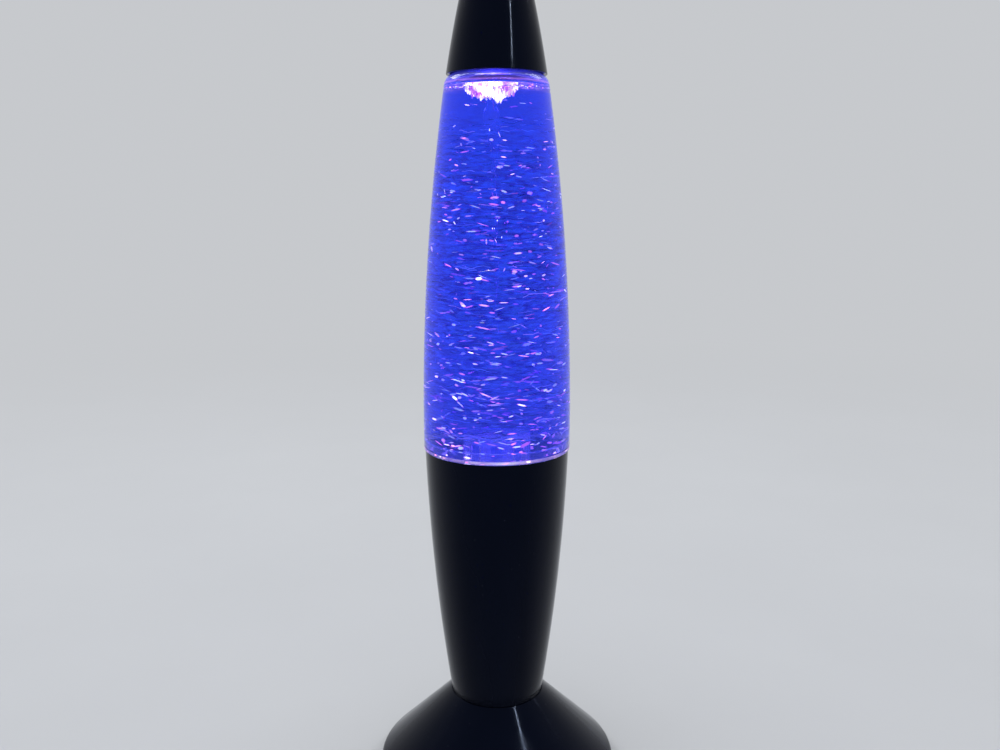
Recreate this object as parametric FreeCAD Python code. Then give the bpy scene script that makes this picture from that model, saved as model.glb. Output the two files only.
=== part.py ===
import FreeCAD, Part
import math
import os

from FreeCAD import Placement, Rotation, Vector

# Tornado lamp. Millimetres, +Z up, origin on the table at the centre of the foot.
# The front is -Y. The switch and the power inlet are at the rear, +Y.

# Heights that stack up to the whole lamp
waist_z = 41.8
cone_height = 124.7
flange_thickness = 1.8
bottle_upright = 10.8
bottle_taper_height = 154.9
cap_side_height = 65.35

# Outer radii
foot_radius = 58.7
waist_radius = 22.9
cone_foot_radius = 22.5
rim_radius = 34.4
bottle_radius = 35.0
bottle_top_radius = 23.8
cap_radius = 22.9
cap_top_radius = 8.4

# Shape of the foot and bulge of the sides
foot_edge_z = 1.0
foot_lip_z = 5.1
foot_rounding = 5.0
cone_bulge = 1.9
cap_bulge = 1.0
cap_rounding = 3.0
shoulder_rounding = 6.0

# Walls
shell_wall = 2.0
bottle_wall = 1.8
cap_wall = 1.8

# Clearances
slip_gap = 0.3
seat_gap = 0.1
bearing_gap = 0.05
thread_gap = 0.05
water_film = 0.1

# Bottom cover, feet and battery tray
cover_bottom_z = 1.6
cover_thickness = 3.0
rubber_foot_radius = 6.0
rubber_foot_height = 2.4
rubber_foot_margin = 3.4
rubber_foot_count = 4
cell_radius = 7.15
cell_length = 50.0
cell_pitch = 14.8
cell_nub_radius = 2.75
cell_nub_height = 1.2
contact_thickness = 0.4
spring_contact_rise = 3.6
tray_wall = 1.4
door_thickness = 2.0
door_ledge = 2.0
door_gap = 0.2
door_pin_radius = 0.55
door_pin_length = 1.2
door_groove_count = 5
door_groove_width = 1.0
finger_notch_radius = 7.0

# Cover screws and waist screws, self-tapping
screw_radius = 1.25
screw_head_radius = 2.5
screw_head_height = 1.8
cover_screw_margin = 8.4
cover_screw_length = 10.2
cover_screw_count = 4
boss_radius = 3.1
waist_plate = 2.5
waist_screw_circle = 14.5
waist_screw_length = 8.0
waist_screw_count = 3
wire_hole_radius = 7.2
locating_ring_wall = 1.6
locating_ring_depth = 2.0

# Power inlet and its board
inlet_z = 9.9
inlet_depth = 13.9
inlet_width = 13.0
inlet_height = 7.0
inlet_wall = 1.6
plug_hole_width = 10.4
plug_hole_height = 4.6
socket_width = 8.94
socket_height = 3.26
socket_depth = 7.35
socket_wall = 0.3
tongue_width = 6.7
tongue_thickness = 0.7
board_thickness = 1.2
power_board_half_width = 11.0
power_board_tray_gap = 0.85
board_post_radius = 2.2
board_post_x = 6.8
board_post_setback = 3.0
chip_width = 4.0
chip_depth = 3.0
chip_height = 1.2
chip_x = 4.2
chip_setback = 0.6
capacitor_radius = 1.7
capacitor_height = 4.0
small_screw_radius = 1.0
small_screw_head_radius = 1.9
small_screw_head_height = 1.2
small_screw_grip = 1.6

# Rocker switch on the rear slope
switch_z = 26.0
switch_seat_depth = 0.5
bezel_width = 11.5
bezel_length = 17.0
bezel_thickness = 1.4
switch_body_width = 9.6
switch_body_length = 14.8
switch_body_depth = 8.8
switch_side_wall = 0.6
switch_well_depth = 4.5
rocker_half_length = 5.8
rocker_bottom_half_length = 4.8
rocker_rise = 1.9
rocker_dip = 1.1
rocker_drop = 3.4
rocker_pivot_depth = 0.6
rocker_pin_radius = 0.8
rocker_tilt_deg = 7.0
terminal_width = 2.8
terminal_thickness = 0.5
terminal_length = 3.3
terminal_spacing = 6.0
terminal_root = 2.0

# Bottle plug and window, measured down from the rim
plug_depth = 12.0
plug_wall = 1.7
plug_gap = 0.4
bottle_floor_drop = 7.5
bottle_floor_thickness = 2.0
collar_height = 3.0
window_drop = 13.9
window_thickness = 1.6
ledge_thickness = 2.5
ledge_width = 2.4

# Magnet drive under the window
magnet_holder_radius = 11.0
magnet_holder_height = 6.0
magnet_holder_gap = 1.0
magnet_holder_hub_radius = 3.6
magnet_holder_hub_height = 2.1
drive_magnet_radius = 2.95
drive_magnet_height = 3.0
drive_magnet_circle = 7.0
shaft_radius = 1.0

# Lights on their board
led_count = 6
led_circle = 16.5
led_radius = 2.5
led_flange_radius = 2.9
led_flange_height = 1.0
led_body_height = 4.6
led_lead_radius = 0.3
led_lead_spacing = 2.54
led_lead_length = 2.4
led_board_radius = 22.5
led_board_hole_radius = 5.0
led_board_gap = 1.3
led_board_post_circle = 19.5
led_board_post_count = 3
led_board_post_radius = 2.4
led_board_post_height = 3.0

# Motor deck and motor
deck_thickness = 2.0
deck_post_circle = 25.5
deck_post_height = 16.0
deck_screw_length = 10.0
deck_post_count = 3
deck_web_thickness = 2.0
deck_wire_hole_radius = 1.4
motor_radius = 10.0
motor_half_flat = 7.6
motor_can_length = 20.5
motor_can_wall = 0.8
motor_cap_length = 5.5
motor_face_thickness = 1.0
motor_nose_radius = 3.0
motor_nose_height = 1.5
motor_screw_x = 6.5
motor_screw_length = 4.2
motor_tab_x = 5.0
motor_tab_length = 6.5
armature_radius = 6.4
armature_length = 10.0
armature_slot_radius = 1.9
armature_slot_circle = 4.7
armature_mouth = 1.2
armature_pole_count = 3
commutator_radius = 2.2
commutator_length = 3.0
motor_magnet_thickness = 1.8
motor_magnet_length = 12.0
motor_magnet_half_deg = 50.0

# Impeller and its cage in the bottle
pin_radius = 1.0
pin_seat_depth = 1.4
impeller_boss_radius = 2.2
impeller_boss_height = 1.3
impeller_radius = 9.2
impeller_disc_height = 4.2
impeller_hub_radius = 2.6
impeller_blade_count = 6
impeller_blade_height = 6.2
impeller_blade_thickness = 1.2
impeller_magnet_radius = 2.45
impeller_magnet_height = 3.0
impeller_magnet_circle = 6.0
cage_radius = 12.0
cage_wall = 1.1
cage_height = 16.5
cage_roof = 1.4
cage_slot_count = 8
cage_slot_width = 4.5
cage_slot_height = 9.5
cage_slot_start = 3.0
cage_roof_hole_radius = 1.9
cage_roof_hole_circle = 7.0

# Water, vortex and glitter
air_space = 1.0
funnel_radius = 10.5
funnel_depth = 11.0
core_radius = 0.8
core_tip_radius = 0.4
core_length = 100.0
flake_count = 96
flake_radius = 0.9
flake_thickness = 0.15
flake_edge_gap = 2.5
flake_settling = 1.4
flake_tilt_deg = 70.0

# Neck, lid and cap seat
neck_radius = 12.5
neck_height = 18.4
neck_fillet = 3.0
neck_ring_radius = 16.5
neck_ring_rise = 5.0
neck_ring_thickness = 2.0
lid_wall = 1.2
lid_roof = 2.0
lid_thread_gap = 0.35
lid_ring_gap = 1.0
lid_rib_count = 24
lid_rib_height = 0.35
gasket_thickness = 1.2
gasket_width = 3.0
cap_rib_count = 6
cap_rib_thickness = 1.6
cap_rib_height = 20.0
cap_rib_gap = 0.5

# Wires
wire_radius = 0.6
wire_bend = 3.0
led_wire_x = 15.0
led_wire_y = 3.0
board_wire_x = 9.4

# Heights that follow from the stack
cover_top_z = cover_bottom_z + cover_thickness
rim_z = waist_z + cone_height
bottle_foot_z = rim_z + flange_thickness
taper_z = bottle_foot_z + bottle_upright
shoulder_z = taper_z + bottle_taper_height
water_z = shoulder_z - air_space
plug_bottom_z = rim_z - plug_depth
bottle_floor_z = rim_z - bottle_floor_drop
window_top_z = rim_z - window_drop
window_z = window_top_z - window_thickness
magnet_top_z = window_z - magnet_holder_gap
magnet_holder_z = magnet_top_z - magnet_holder_height
hub_z = magnet_holder_z - magnet_holder_hub_height
led_board_top_z = hub_z - led_board_gap
led_board_z = led_board_top_z - board_thickness
deck_top_z = led_board_z - led_board_post_height
deck_z = deck_top_z - deck_thickness
motor_can_z = deck_z - motor_can_length
motor_bottom_z = motor_can_z - motor_cap_length
cage_top_z = bottle_floor_z + cage_height
impeller_z = bottle_floor_z + impeller_boss_height + slip_gap


def at(radius, z):
    # A point of a half section
    return Vector(radius, 0, z)


def path(*points):
    # Straight edges from point to point
    return [Part.LineSegment(a, b).toShape() for a, b in zip(points, points[1:])]


def arc(start, middle, end):
    return Part.Arc(start, middle, end).toShape()


def turned(edges):
    # The solid that a closed half section sweeps around the lamp's axis
    return Part.Face(Part.Wire(edges)).revolve(Vector(), Vector(0, 0, 1), 360)


def disc(radius, z_low, z_high, x=0.0, y=0.0):
    return Part.makeCylinder(radius, z_high - z_low, Vector(x, y, z_low))


def ring(inner, outer, z_low, z_high):
    return disc(outer, z_low, z_high).cut(disc(inner, z_low, z_high))


def block(x_low, x_high, y_low, y_high, z_low, z_high):
    return Part.makeBox(x_high - x_low, y_high - y_low, z_high - z_low, Vector(x_low, y_low, z_low))


def prism(points, direction):
    # A flat outline pushed along a direction
    return Part.Face(Part.makePolygon(points + points[:1])).extrude(direction)


def around(count, radius, start_deg=0.0):
    # Evenly spaced places on a circle about the axis, as x, y and the angle in degrees
    places = []
    for index in range(count):
        angle = start_deg + 360.0 * index / count
        turn = math.radians(angle)
        places.append((radius * math.cos(turn), radius * math.sin(turn), angle))
    return places


def turned_copy(shape, angle):
    # The shape turned about the lamp's axis
    copy = shape.copy()
    copy.rotate(Vector(), Vector(0, 0, 1), angle)
    return copy


def group(shapes):
    return Part.makeCompound(shapes)


class Side:
    # The bulging side of a turned piece: an arc of a large circle in its half section

    def __init__(self, centre_r, centre_z, radius):
        self.centre_r = centre_r
        self.centre_z = centre_z
        self.radius = radius

    def radius_at(self, z, inset=0.0):
        reach = self.radius - inset
        return self.centre_r + math.sqrt(reach ** 2 - (z - self.centre_z) ** 2)

    def edge(self, z_from, z_to, inset=0.0):
        heights = (z_from, (z_from + z_to) / 2, z_to)
        return arc(*[at(self.radius_at(z, inset), z) for z in heights])

    def lean_at(self, z):
        # The outward normal's angle above level
        return math.asin((z - self.centre_z) / self.radius)


def bulged_side(low_radius, low_z, high_radius, high_z, bulge):
    # The arc that stands out from its chord by the bulge
    chord = math.hypot(high_radius - low_radius, high_z - low_z)
    radius = (chord ** 2 / 4 + bulge ** 2) / (2 * bulge)
    across = (high_z - low_z) / chord
    along = (high_radius - low_radius) / chord
    middle_r = (low_radius + high_radius) / 2
    middle_z = (low_z + high_z) / 2
    return Side(middle_r - across * (radius - bulge), middle_z + along * (radius - bulge), radius)


def upright_side(low_radius, low_z, high_radius, high_z):
    # The arc that starts upright at its low end
    drop = low_radius - high_radius
    radius = (drop ** 2 + (high_z - low_z) ** 2) / (2 * drop)
    return Side(low_radius - radius, low_z, radius)


cone_side = bulged_side(cone_foot_radius, waist_z, rim_radius, rim_z, cone_bulge)
bottle_side = upright_side(bottle_radius, taper_z, bottle_top_radius, shoulder_z)

# The shoulder of the bottle: a rounding that meets the side smoothly and ends level
shoulder_lean = bottle_side.lean_at(shoulder_z)
shoulder_centre_r = bottle_top_radius - shoulder_rounding * math.cos(shoulder_lean)
shoulder_centre_z = shoulder_z - shoulder_rounding * math.sin(shoulder_lean)
shoulder_top_z = shoulder_centre_z + shoulder_rounding
neck_top_z = shoulder_top_z + neck_height
neck_ring_z = shoulder_top_z + neck_ring_rise
neck_ring_top_z = neck_ring_z + neck_ring_thickness

# The cap's lower edge hangs just over the shoulder
cap_edge_reach = cap_radius - cap_wall - shoulder_centre_r
cap_z = shoulder_centre_z + math.sqrt(shoulder_rounding ** 2 - cap_edge_reach ** 2) + slip_gap
cap_side_top_z = cap_z + cap_side_height
cap_side = bulged_side(cap_radius, cap_z, cap_top_radius, cap_side_top_z, cap_bulge)

# The lid on the neck
lid_inner_radius = neck_radius + lid_thread_gap
lid_outer_radius = lid_inner_radius + lid_wall
lid_z = neck_ring_top_z + lid_ring_gap
gasket_top_z = neck_top_z + gasket_thickness
lid_top_z = gasket_top_z + lid_roof

# Slope of the foot: the straight line from the waist that touches the rounding above the lip
rounding_r = foot_radius - foot_rounding
waist_reach = math.hypot(rounding_r - waist_radius, waist_z - foot_lip_z)
waist_lean = math.atan2(rounding_r - waist_radius, waist_z - foot_lip_z)
slope = math.acos(foot_rounding / waist_reach) - waist_lean
slope_normal = (math.sin(slope), math.cos(slope))

plug_radius = cone_side.radius_at(plug_bottom_z, shell_wall) - plug_gap
plug_inner_radius = plug_radius - plug_wall
collar_radius = bottle_radius - bottle_wall - thread_gap
window_radius = cone_side.radius_at(window_z, shell_wall) - slip_gap
ledge_radius = window_radius - ledge_width
deck_radius = ledge_radius - slip_gap

# The battery tray is a box over three cells side by side
tray_half_x = (cell_length + spring_contact_rise) / 2 + contact_thickness + seat_gap
tray_half_y = cell_pitch + cell_radius + door_gap
door_half_x = tray_half_x + door_ledge
door_half_y = tray_half_y + door_ledge
door_top_z = cover_bottom_z + door_thickness
door_axis_z = cover_bottom_z + door_thickness / 2
door_axis_x = -(door_half_x - door_thickness / 2)
cell_z = door_top_z + seat_gap + cell_radius
tray_roof_z = cell_z + cell_radius + slip_gap
tray_top_z = tray_roof_z + tray_wall

# The cover fills the foot; its rubber feet and screws stand in from its edge
cover_radius = foot_radius - shell_wall - slip_gap
rubber_foot_circle = cover_radius - rubber_foot_margin - rubber_foot_radius
cover_screw_circle = cover_radius - cover_screw_margin

# The power board reaches from the tray to the inlet, with the socket at its outer edge
inlet_y = foot_radius - inlet_depth
inlet_back_y = inlet_y - inlet_wall
socket_front_y = inlet_back_y - slip_gap
socket_back_y = socket_front_y - socket_depth
power_board_inner_y = tray_half_y + tray_wall + power_board_tray_gap
power_board_z = inlet_z - socket_height / 2 - board_thickness
power_board_top_z = power_board_z + board_thickness
board_post_y = socket_front_y - board_post_setback
chip_y = socket_back_y - chip_setback - chip_depth
board_screw_length = power_board_top_z - cover_top_z + small_screw_grip


def slope_point(inset=0.0):
    # Where the rounding meets the slope, on the outer or an inset surface
    reach = foot_rounding - inset
    return rounding_r + reach * slope_normal[0], foot_lip_z + reach * slope_normal[1]


def slope_radius(z, inset=0.0):
    start_r, start_z = slope_point(inset)
    return start_r - (z - start_z) / math.tan(slope)


def foot_solid(inset, z_low, z_high):
    # The foot filled in, up to a level top
    reach = foot_rounding - inset
    start_r, start_z = slope_point(inset)
    half = (math.pi / 2 - slope) / 2
    middle = at(rounding_r + reach * math.cos(half), foot_lip_z + reach * math.sin(half))
    side_r = rounding_r + reach
    edges = path(at(0, z_low), at(side_r, z_low), at(side_r, foot_lip_z))
    edges.append(arc(at(side_r, foot_lip_z), middle, at(start_r, start_z)))
    edges += path(at(start_r, start_z), at(slope_radius(z_high, inset), z_high), at(0, z_high),
                  at(0, z_low))
    return turned(edges)


def screw(x, y, seat_z, direction, radius, length, head_radius, head_height):
    # A pan-head screw: the head sits on the seat and the shank runs along the direction
    shank = Part.makeCylinder(radius, length, Vector(x, y, seat_z), direction)
    head = Part.makeCylinder(head_radius, head_height, Vector(x, y, seat_z), -direction)
    recess_depth = head_height / 2
    arm = head_radius * 0.6
    arm_width = head_radius * 0.2
    recess_z = seat_z - direction.z * head_height
    cross = block(-arm, arm, -arm_width, arm_width, -recess_depth, recess_depth)
    cross = cross.fuse(block(-arm_width, arm_width, -arm, arm, -recess_depth, recess_depth))
    cross.translate(Vector(x, y, recess_z))
    return shank.fuse(head).cut(cross)


def wire_along(points):
    # A round wire on straight runs joined by tangent arcs
    edges = []
    start = points[0]
    for before, corner, after in zip(points, points[1:], points[2:]):
        back = (before - corner).normalize()
        ahead = (after - corner).normalize()
        half_turn = (math.pi - back.getAngle(ahead)) / 2
        shortest = min(before.distanceToPoint(corner), after.distanceToPoint(corner))
        cut = min(wire_bend * math.tan(half_turn), 0.45 * shortest)
        bend = cut / math.tan(half_turn)
        inward = (back + ahead).normalize()
        middle = corner + inward * (bend / math.cos(half_turn) - bend)
        edges.append(Part.LineSegment(start, corner + back * cut).toShape())
        edges.append(arc(corner + back * cut, middle, corner + ahead * cut))
        start = corner + ahead * cut
    edges.append(Part.LineSegment(start, points[-1]).toShape())
    section = Part.Wire(Part.makeCircle(wire_radius, points[0], points[1] - points[0]))
    return Part.Wire(edges).makePipeShell([section], True, False)


# Foot, cone and bottom cover

def switch_placement():
    # Local z is the slope's normal at the rear, local y points down the slope
    tilt = Rotation(Vector(1, 0, 0), -math.degrees(slope))
    return Placement(Vector(0, slope_radius(switch_z), switch_z), tilt)


def placed(shape, placement):
    copy = shape.copy()
    copy.Placement = placement.multiply(copy.Placement)
    return copy


def centred_block(half_x, half_y, z_low, z_high):
    return block(-half_x, half_x, -half_y, half_y, z_low, z_high)


def inlet_block(grow, y_low):
    # The pocket around the inlet, or with a wall around it
    half_width = inlet_width / 2 + grow
    half_height = inlet_height / 2 + grow
    return block(-half_width, half_width, y_low, foot_radius, inlet_z - half_height, inlet_z + half_height)


def make_foot_shell():
    outer = foot_solid(0.0, foot_edge_z, waist_z)
    hollow = foot_solid(shell_wall, foot_edge_z, waist_z - waist_plate)
    shell = outer.cut(hollow)
    posts = [disc(boss_radius, cover_top_z, waist_z, x, y)
             for x, y, _ in around(cover_screw_count, cover_screw_circle, 45)]
    shell = shell.fuse([post.common(outer) for post in posts])
    shell = shell.fuse(inlet_block(inlet_wall, inlet_back_y).common(outer))
    shell = shell.cut(inlet_block(0.0, inlet_y))
    plug_hole = block(-plug_hole_width / 2, plug_hole_width / 2, inlet_back_y, inlet_y,
                      inlet_z - plug_hole_height / 2, inlet_z + plug_hole_height / 2)
    shell = shell.cut(plug_hole)
    cover_screw_top_z = cover_top_z - ledge_plate() + cover_screw_length + seat_gap
    for x, y, _ in around(cover_screw_count, cover_screw_circle, 45):
        shell = shell.cut(disc(screw_radius + thread_gap, cover_top_z, cover_screw_top_z, x, y))
    ring_hole = wire_hole_radius + locating_ring_wall + seat_gap
    shell = shell.cut(disc(ring_hole, waist_z - waist_plate, waist_z))
    for x, y, _ in around(waist_screw_count, waist_screw_circle, 30):
        shell = shell.cut(disc(screw_radius + slip_gap, waist_z - waist_plate, waist_z, x, y))
    seat = centred_block(bezel_width / 2 + slip_gap, bezel_length / 2 + slip_gap,
                         -switch_seat_depth, foot_rounding)
    opening = centred_block(switch_body_width / 2 + seat_gap, switch_body_length / 2 + seat_gap,
                            -2 * shell_wall, foot_rounding)
    return shell.cut(placed(seat.fuse(opening), switch_placement()))


def ledge_plate():
    # What is left of the cover above a sunk screw head
    return cover_thickness - screw_head_height - seat_gap * 2


def make_housing_cone():
    edges = path(at(0, waist_z), at(cone_foot_radius, waist_z))
    edges.append(cone_side.edge(waist_z, rim_z))
    edges += path(at(rim_radius, rim_z), at(0, rim_z), at(0, waist_z))
    outer = turned(edges)
    floor_z = waist_z + waist_plate
    top_inner = cone_side.radius_at(rim_z, shell_wall)
    edges = path(at(0, floor_z), at(cone_side.radius_at(floor_z, shell_wall), floor_z))
    edges.append(cone_side.edge(floor_z, rim_z, shell_wall))
    edges += path(at(top_inner, rim_z), at(0, rim_z), at(0, floor_z))
    cone = outer.cut(turned(edges))
    cone = cone.fuse(disc(rim_radius, window_z - ledge_thickness, window_z).common(outer))
    cone = cone.cut(disc(ledge_radius, window_z - ledge_thickness, window_z))
    for x, y, angle in around(deck_post_count, deck_post_circle, 90):
        post = disc(boss_radius, deck_z - deck_post_height, deck_z, x, y)
        web = block(deck_post_circle, rim_radius, -deck_web_thickness / 2, deck_web_thickness / 2,
                    deck_z - deck_post_height, deck_z)
        cone = cone.fuse([post, turned_copy(web, angle).common(outer)])
        hole_z = deck_top_z - deck_screw_length - seat_gap
        cone = cone.cut(disc(screw_radius + thread_gap, hole_z, deck_z, x, y))
    boss_top_z = waist_z - waist_plate + waist_screw_length + 2 * seat_gap
    for x, y, _ in around(waist_screw_count, waist_screw_circle, 30):
        cone = cone.fuse(disc(boss_radius, waist_z, boss_top_z + shell_wall, x, y))
        cone = cone.cut(disc(screw_radius + thread_gap, waist_z, boss_top_z, x, y))
    cone = cone.fuse(disc(wire_hole_radius + locating_ring_wall, waist_z - locating_ring_depth, waist_z))
    return cone.cut(disc(wire_hole_radius, waist_z - locating_ring_depth, floor_z))


def screw_head_z():
    return cover_top_z - ledge_plate()


def make_bottom_cover():
    cover = disc(cover_radius, cover_bottom_z, cover_top_z)
    walls_x = tray_half_x + tray_wall
    walls_y = tray_half_y + tray_wall
    cover = cover.fuse(centred_block(walls_x, walls_y, cover_bottom_z, tray_top_z))
    cover = cover.cut(centred_block(tray_half_x, tray_half_y, cover_bottom_z, tray_roof_z))
    cover = cover.cut(centred_block(door_half_x, door_half_y, cover_bottom_z, door_top_z + seat_gap))
    notch = disc(finger_notch_radius, cover_bottom_z, door_axis_z, door_half_x)
    cover = cover.cut(notch)
    pin_hole_reach = door_half_y + door_pin_length
    pin_hole = Part.makeCylinder(door_pin_radius + bearing_gap, 2 * pin_hole_reach,
                                 Vector(door_axis_x, -pin_hole_reach, door_axis_z), Vector(0, 1, 0))
    cover = cover.cut(pin_hole)
    for x, y, _ in around(rubber_foot_count, rubber_foot_circle):
        cover = cover.cut(disc(rubber_foot_radius + thread_gap, cover_bottom_z, rubber_foot_height, x, y))
    for x, y, _ in around(cover_screw_count, cover_screw_circle, 45):
        cover = cover.cut(disc(screw_head_radius + slip_gap, cover_bottom_z, screw_head_z(), x, y))
        cover = cover.cut(disc(screw_radius + slip_gap, cover_bottom_z, cover_top_z, x, y))
    for side in (-1, 1):
        x = side * board_post_x
        cover = cover.fuse(disc(board_post_radius, cover_bottom_z, power_board_z, x, board_post_y))
        hole_z = power_board_top_z - board_screw_length - seat_gap
        cover = cover.cut(disc(small_screw_radius + thread_gap, hole_z, power_board_z, x, board_post_y))
        slot = contact_slot(side)
        cover = cover.cut(slot)
    rest_y = socket_front_y - inlet_wall
    rest = block(-power_board_half_width, power_board_half_width, rest_y, socket_front_y,
                 cover_top_z, power_board_z)
    return cover.fuse(rest)


def contact_slot(side):
    # The slot in the tray's roof for the tab of an end contact
    x_outer = side * (tray_half_x + seat_gap)
    x_inner = side * (tray_half_x - contact_thickness - 2 * seat_gap)
    y = side * cell_pitch
    half = contact_tab_half_width() + seat_gap
    return block(min(x_inner, x_outer), max(x_inner, x_outer), y - half, y + half, tray_roof_z, tray_top_z)


def contact_tab_half_width():
    return cell_nub_radius


def make_battery_door():
    reach_x = door_half_x - door_gap
    half_y = door_half_y - door_gap
    edge = door_thickness / 2
    plate = block(door_axis_x, reach_x, -half_y, half_y, cover_bottom_z, door_top_z)
    barrel = Part.makeCylinder(edge, 2 * half_y, Vector(door_axis_x, -half_y, door_axis_z), Vector(0, 1, 0))
    pin_reach = door_half_y + door_pin_length - seat_gap
    pin = Part.makeCylinder(door_pin_radius, 2 * pin_reach, Vector(door_axis_x, -pin_reach, door_axis_z),
                            Vector(0, 1, 0))
    door = plate.fuse([barrel, pin])
    for index in range(door_groove_count):
        x = reach_x - 2 * (index + 1) * door_groove_width
        groove = block(x - door_groove_width / 2, x + door_groove_width / 2, -finger_notch_radius,
                       finger_notch_radius, cover_bottom_z, cover_bottom_z + door_groove_width / 4)
        door = door.cut(groove)
    return door


def make_rubber_feet():
    edge = foot_edge_z / 2
    feet = []
    for x, y, _ in around(rubber_foot_count, rubber_foot_circle):
        pad = disc(rubber_foot_radius, edge, rubber_foot_height, x, y)
        taper = Part.makeCone(rubber_foot_radius - edge, rubber_foot_radius, edge, Vector(x, y, 0))
        feet.append(pad.fuse(taper).removeSplitter())
    return group(feet)


def make_cover_screws():
    up = Vector(0, 0, 1)
    return group([screw(x, y, screw_head_z(), up, screw_radius, cover_screw_length,
                        screw_head_radius, screw_head_height)
                  for x, y, _ in around(cover_screw_count, cover_screw_circle, 45)])


def make_waist_screws():
    up = Vector(0, 0, 1)
    seat_z = waist_z - waist_plate
    return group([screw(x, y, seat_z, up, screw_radius, waist_screw_length,
                        screw_head_radius, screw_head_height)
                  for x, y, _ in around(waist_screw_count, waist_screw_circle, 30)])


# Batteries and contacts, in three rows numbered -1, 0 and 1 from the front

def nub_side(row):
    # Cells alternate, so that the contacts join them in series
    return 1 if row == 0 else -1


def make_battery_cells():
    cells = []
    for row in (-1, 0, 1):
        facing = nub_side(row)
        y = row * cell_pitch
        axis = Vector(facing, 0, 0)
        nub_end_x = facing * (tray_half_x - contact_thickness - seat_gap)
        base_x = nub_end_x - facing * cell_length
        base = Vector(base_x, y, cell_z)
        body = Part.makeCylinder(cell_radius, cell_length - cell_nub_height, base, axis)
        nub = Part.makeCylinder(cell_nub_radius, cell_length, base, axis)
        cells.append(body.fuse(nub))
    return group(cells)


def contact_plate(side, row_low, row_high):
    # A plate against the tray's end wall that covers one cell or two
    outer_x = tray_half_x - seat_gap / 2
    inner_x = outer_x - contact_thickness
    half = cell_nub_radius
    y_low = row_low * cell_pitch - half
    y_high = row_high * cell_pitch + half
    x_low, x_high = sorted((side * inner_x, side * outer_x))
    return block(x_low, x_high, y_low, y_high, cell_z - half, cell_z + half)


def sprung_leaf(side, row):
    # A bowed leaf on the plate that presses the base end of its cell
    start_x = tray_half_x - seat_gap / 2 - contact_thickness
    reach = spring_contact_rise - seat_gap
    half = cell_nub_radius
    thick = contact_thickness
    y = row * cell_pitch
    outline = [(0, -half), (reach, -thick), (reach, thick), (0, half), (0, half - 2 * thick),
               (reach - thick, 0), (0, 2 * thick - half)]
    points = [Vector(side * (start_x - dx), y - half, cell_z + dz) for dx, dz in outline]
    return prism(points, Vector(0, 2 * half, 0))


def make_contact(side, row_low, row_high):
    # The leaves stand only where a cell's base end faces the plate
    plate = contact_plate(side, row_low, row_high)
    for row in range(row_low, row_high + 1):
        if nub_side(row) != side:
            plate = plate.fuse(sprung_leaf(side, row))
    return plate


def contact_tab(side):
    # The tab that stands up through the roof from the plate of an end contact
    outer_x = tray_half_x - seat_gap / 2
    x_low, x_high = sorted((side * (outer_x - contact_thickness), side * outer_x))
    y = side * cell_pitch
    half = contact_tab_half_width()
    return block(x_low, x_high, y - half, y + half, cell_z, tray_top_z + 4 * wire_radius)


def make_bridge_contacts():
    return group([make_contact(1, -1, 0), make_contact(-1, 0, 1)])


def make_end_contacts():
    return group([make_contact(side, side, side).fuse(contact_tab(side)) for side in (-1, 1)])


# Power inlet, its board and the switch

def slotted_bar(width, height, y_low, y_high):
    # A bar along y with round ends left and right
    half = height / 2
    straight = width / 2 - half
    bar = block(-straight, straight, y_low, y_high, inlet_z - half, inlet_z + half)
    along = Vector(0, 1, 0)
    ends = [Part.makeCylinder(half, y_high - y_low, Vector(side * straight, y_low, inlet_z), along)
            for side in (-1, 1)]
    return bar.fuse(ends)


def make_socket_shell():
    shell = slotted_bar(socket_width, socket_height, socket_back_y, socket_front_y)
    inner_width = socket_width - 2 * socket_wall
    inner_height = socket_height - 2 * socket_wall
    return shell.cut(slotted_bar(inner_width, inner_height, socket_back_y + socket_wall, socket_front_y))


def make_socket_tongue():
    half = tongue_width / 2
    return block(-half, half, socket_back_y + socket_wall, socket_front_y - 2 * tongue_thickness,
                 inlet_z - tongue_thickness / 2, inlet_z + tongue_thickness / 2)


def make_power_board():
    board = block(-power_board_half_width, power_board_half_width, power_board_inner_y, socket_front_y,
                  power_board_z, power_board_top_z)
    for side in (-1, 1):
        board = board.cut(disc(small_screw_radius + seat_gap, power_board_z, power_board_top_z,
                               side * board_post_x, board_post_y))
    return board


def make_board_chips():
    # A control chip and a capacitor side by side behind the socket
    top = power_board_top_z
    chip = block(-chip_x - chip_width / 2, -chip_x + chip_width / 2, chip_y, chip_y + chip_depth,
                 top, top + chip_height)
    capacitor = disc(capacitor_radius, top, top + capacitor_height, chip_x, chip_y + chip_depth / 2)
    return group([chip, capacitor])


def make_board_screws():
    down = Vector(0, 0, -1)
    return group([screw(side * board_post_x, board_post_y, power_board_top_z, down, small_screw_radius,
                        board_screw_length, small_screw_head_radius, small_screw_head_height)
                  for side in (-1, 1)])


def make_switch_housing():
    half_x = switch_body_width / 2
    half_y = switch_body_length / 2
    bezel = centred_block(bezel_width / 2, bezel_length / 2, -switch_seat_depth,
                          bezel_thickness - switch_seat_depth)
    body = centred_block(half_x, half_y, -switch_body_depth - switch_seat_depth, -switch_seat_depth)
    well_z = -switch_seat_depth - switch_well_depth
    well = centred_block(half_x - switch_side_wall, half_y - switch_side_wall, well_z, bezel_thickness)
    housing = bezel.fuse(body).cut(well)
    pin_hole = Part.makeCylinder(rocker_pin_radius + bearing_gap, switch_body_width,
                                 Vector(-half_x, 0, -rocker_pivot_depth), Vector(1, 0, 0))
    housing = housing.cut(pin_hole)
    for side in (-1, 1):
        housing = housing.cut(switch_terminal(side, thread_gap))
    return placed(housing, switch_placement())


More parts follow.
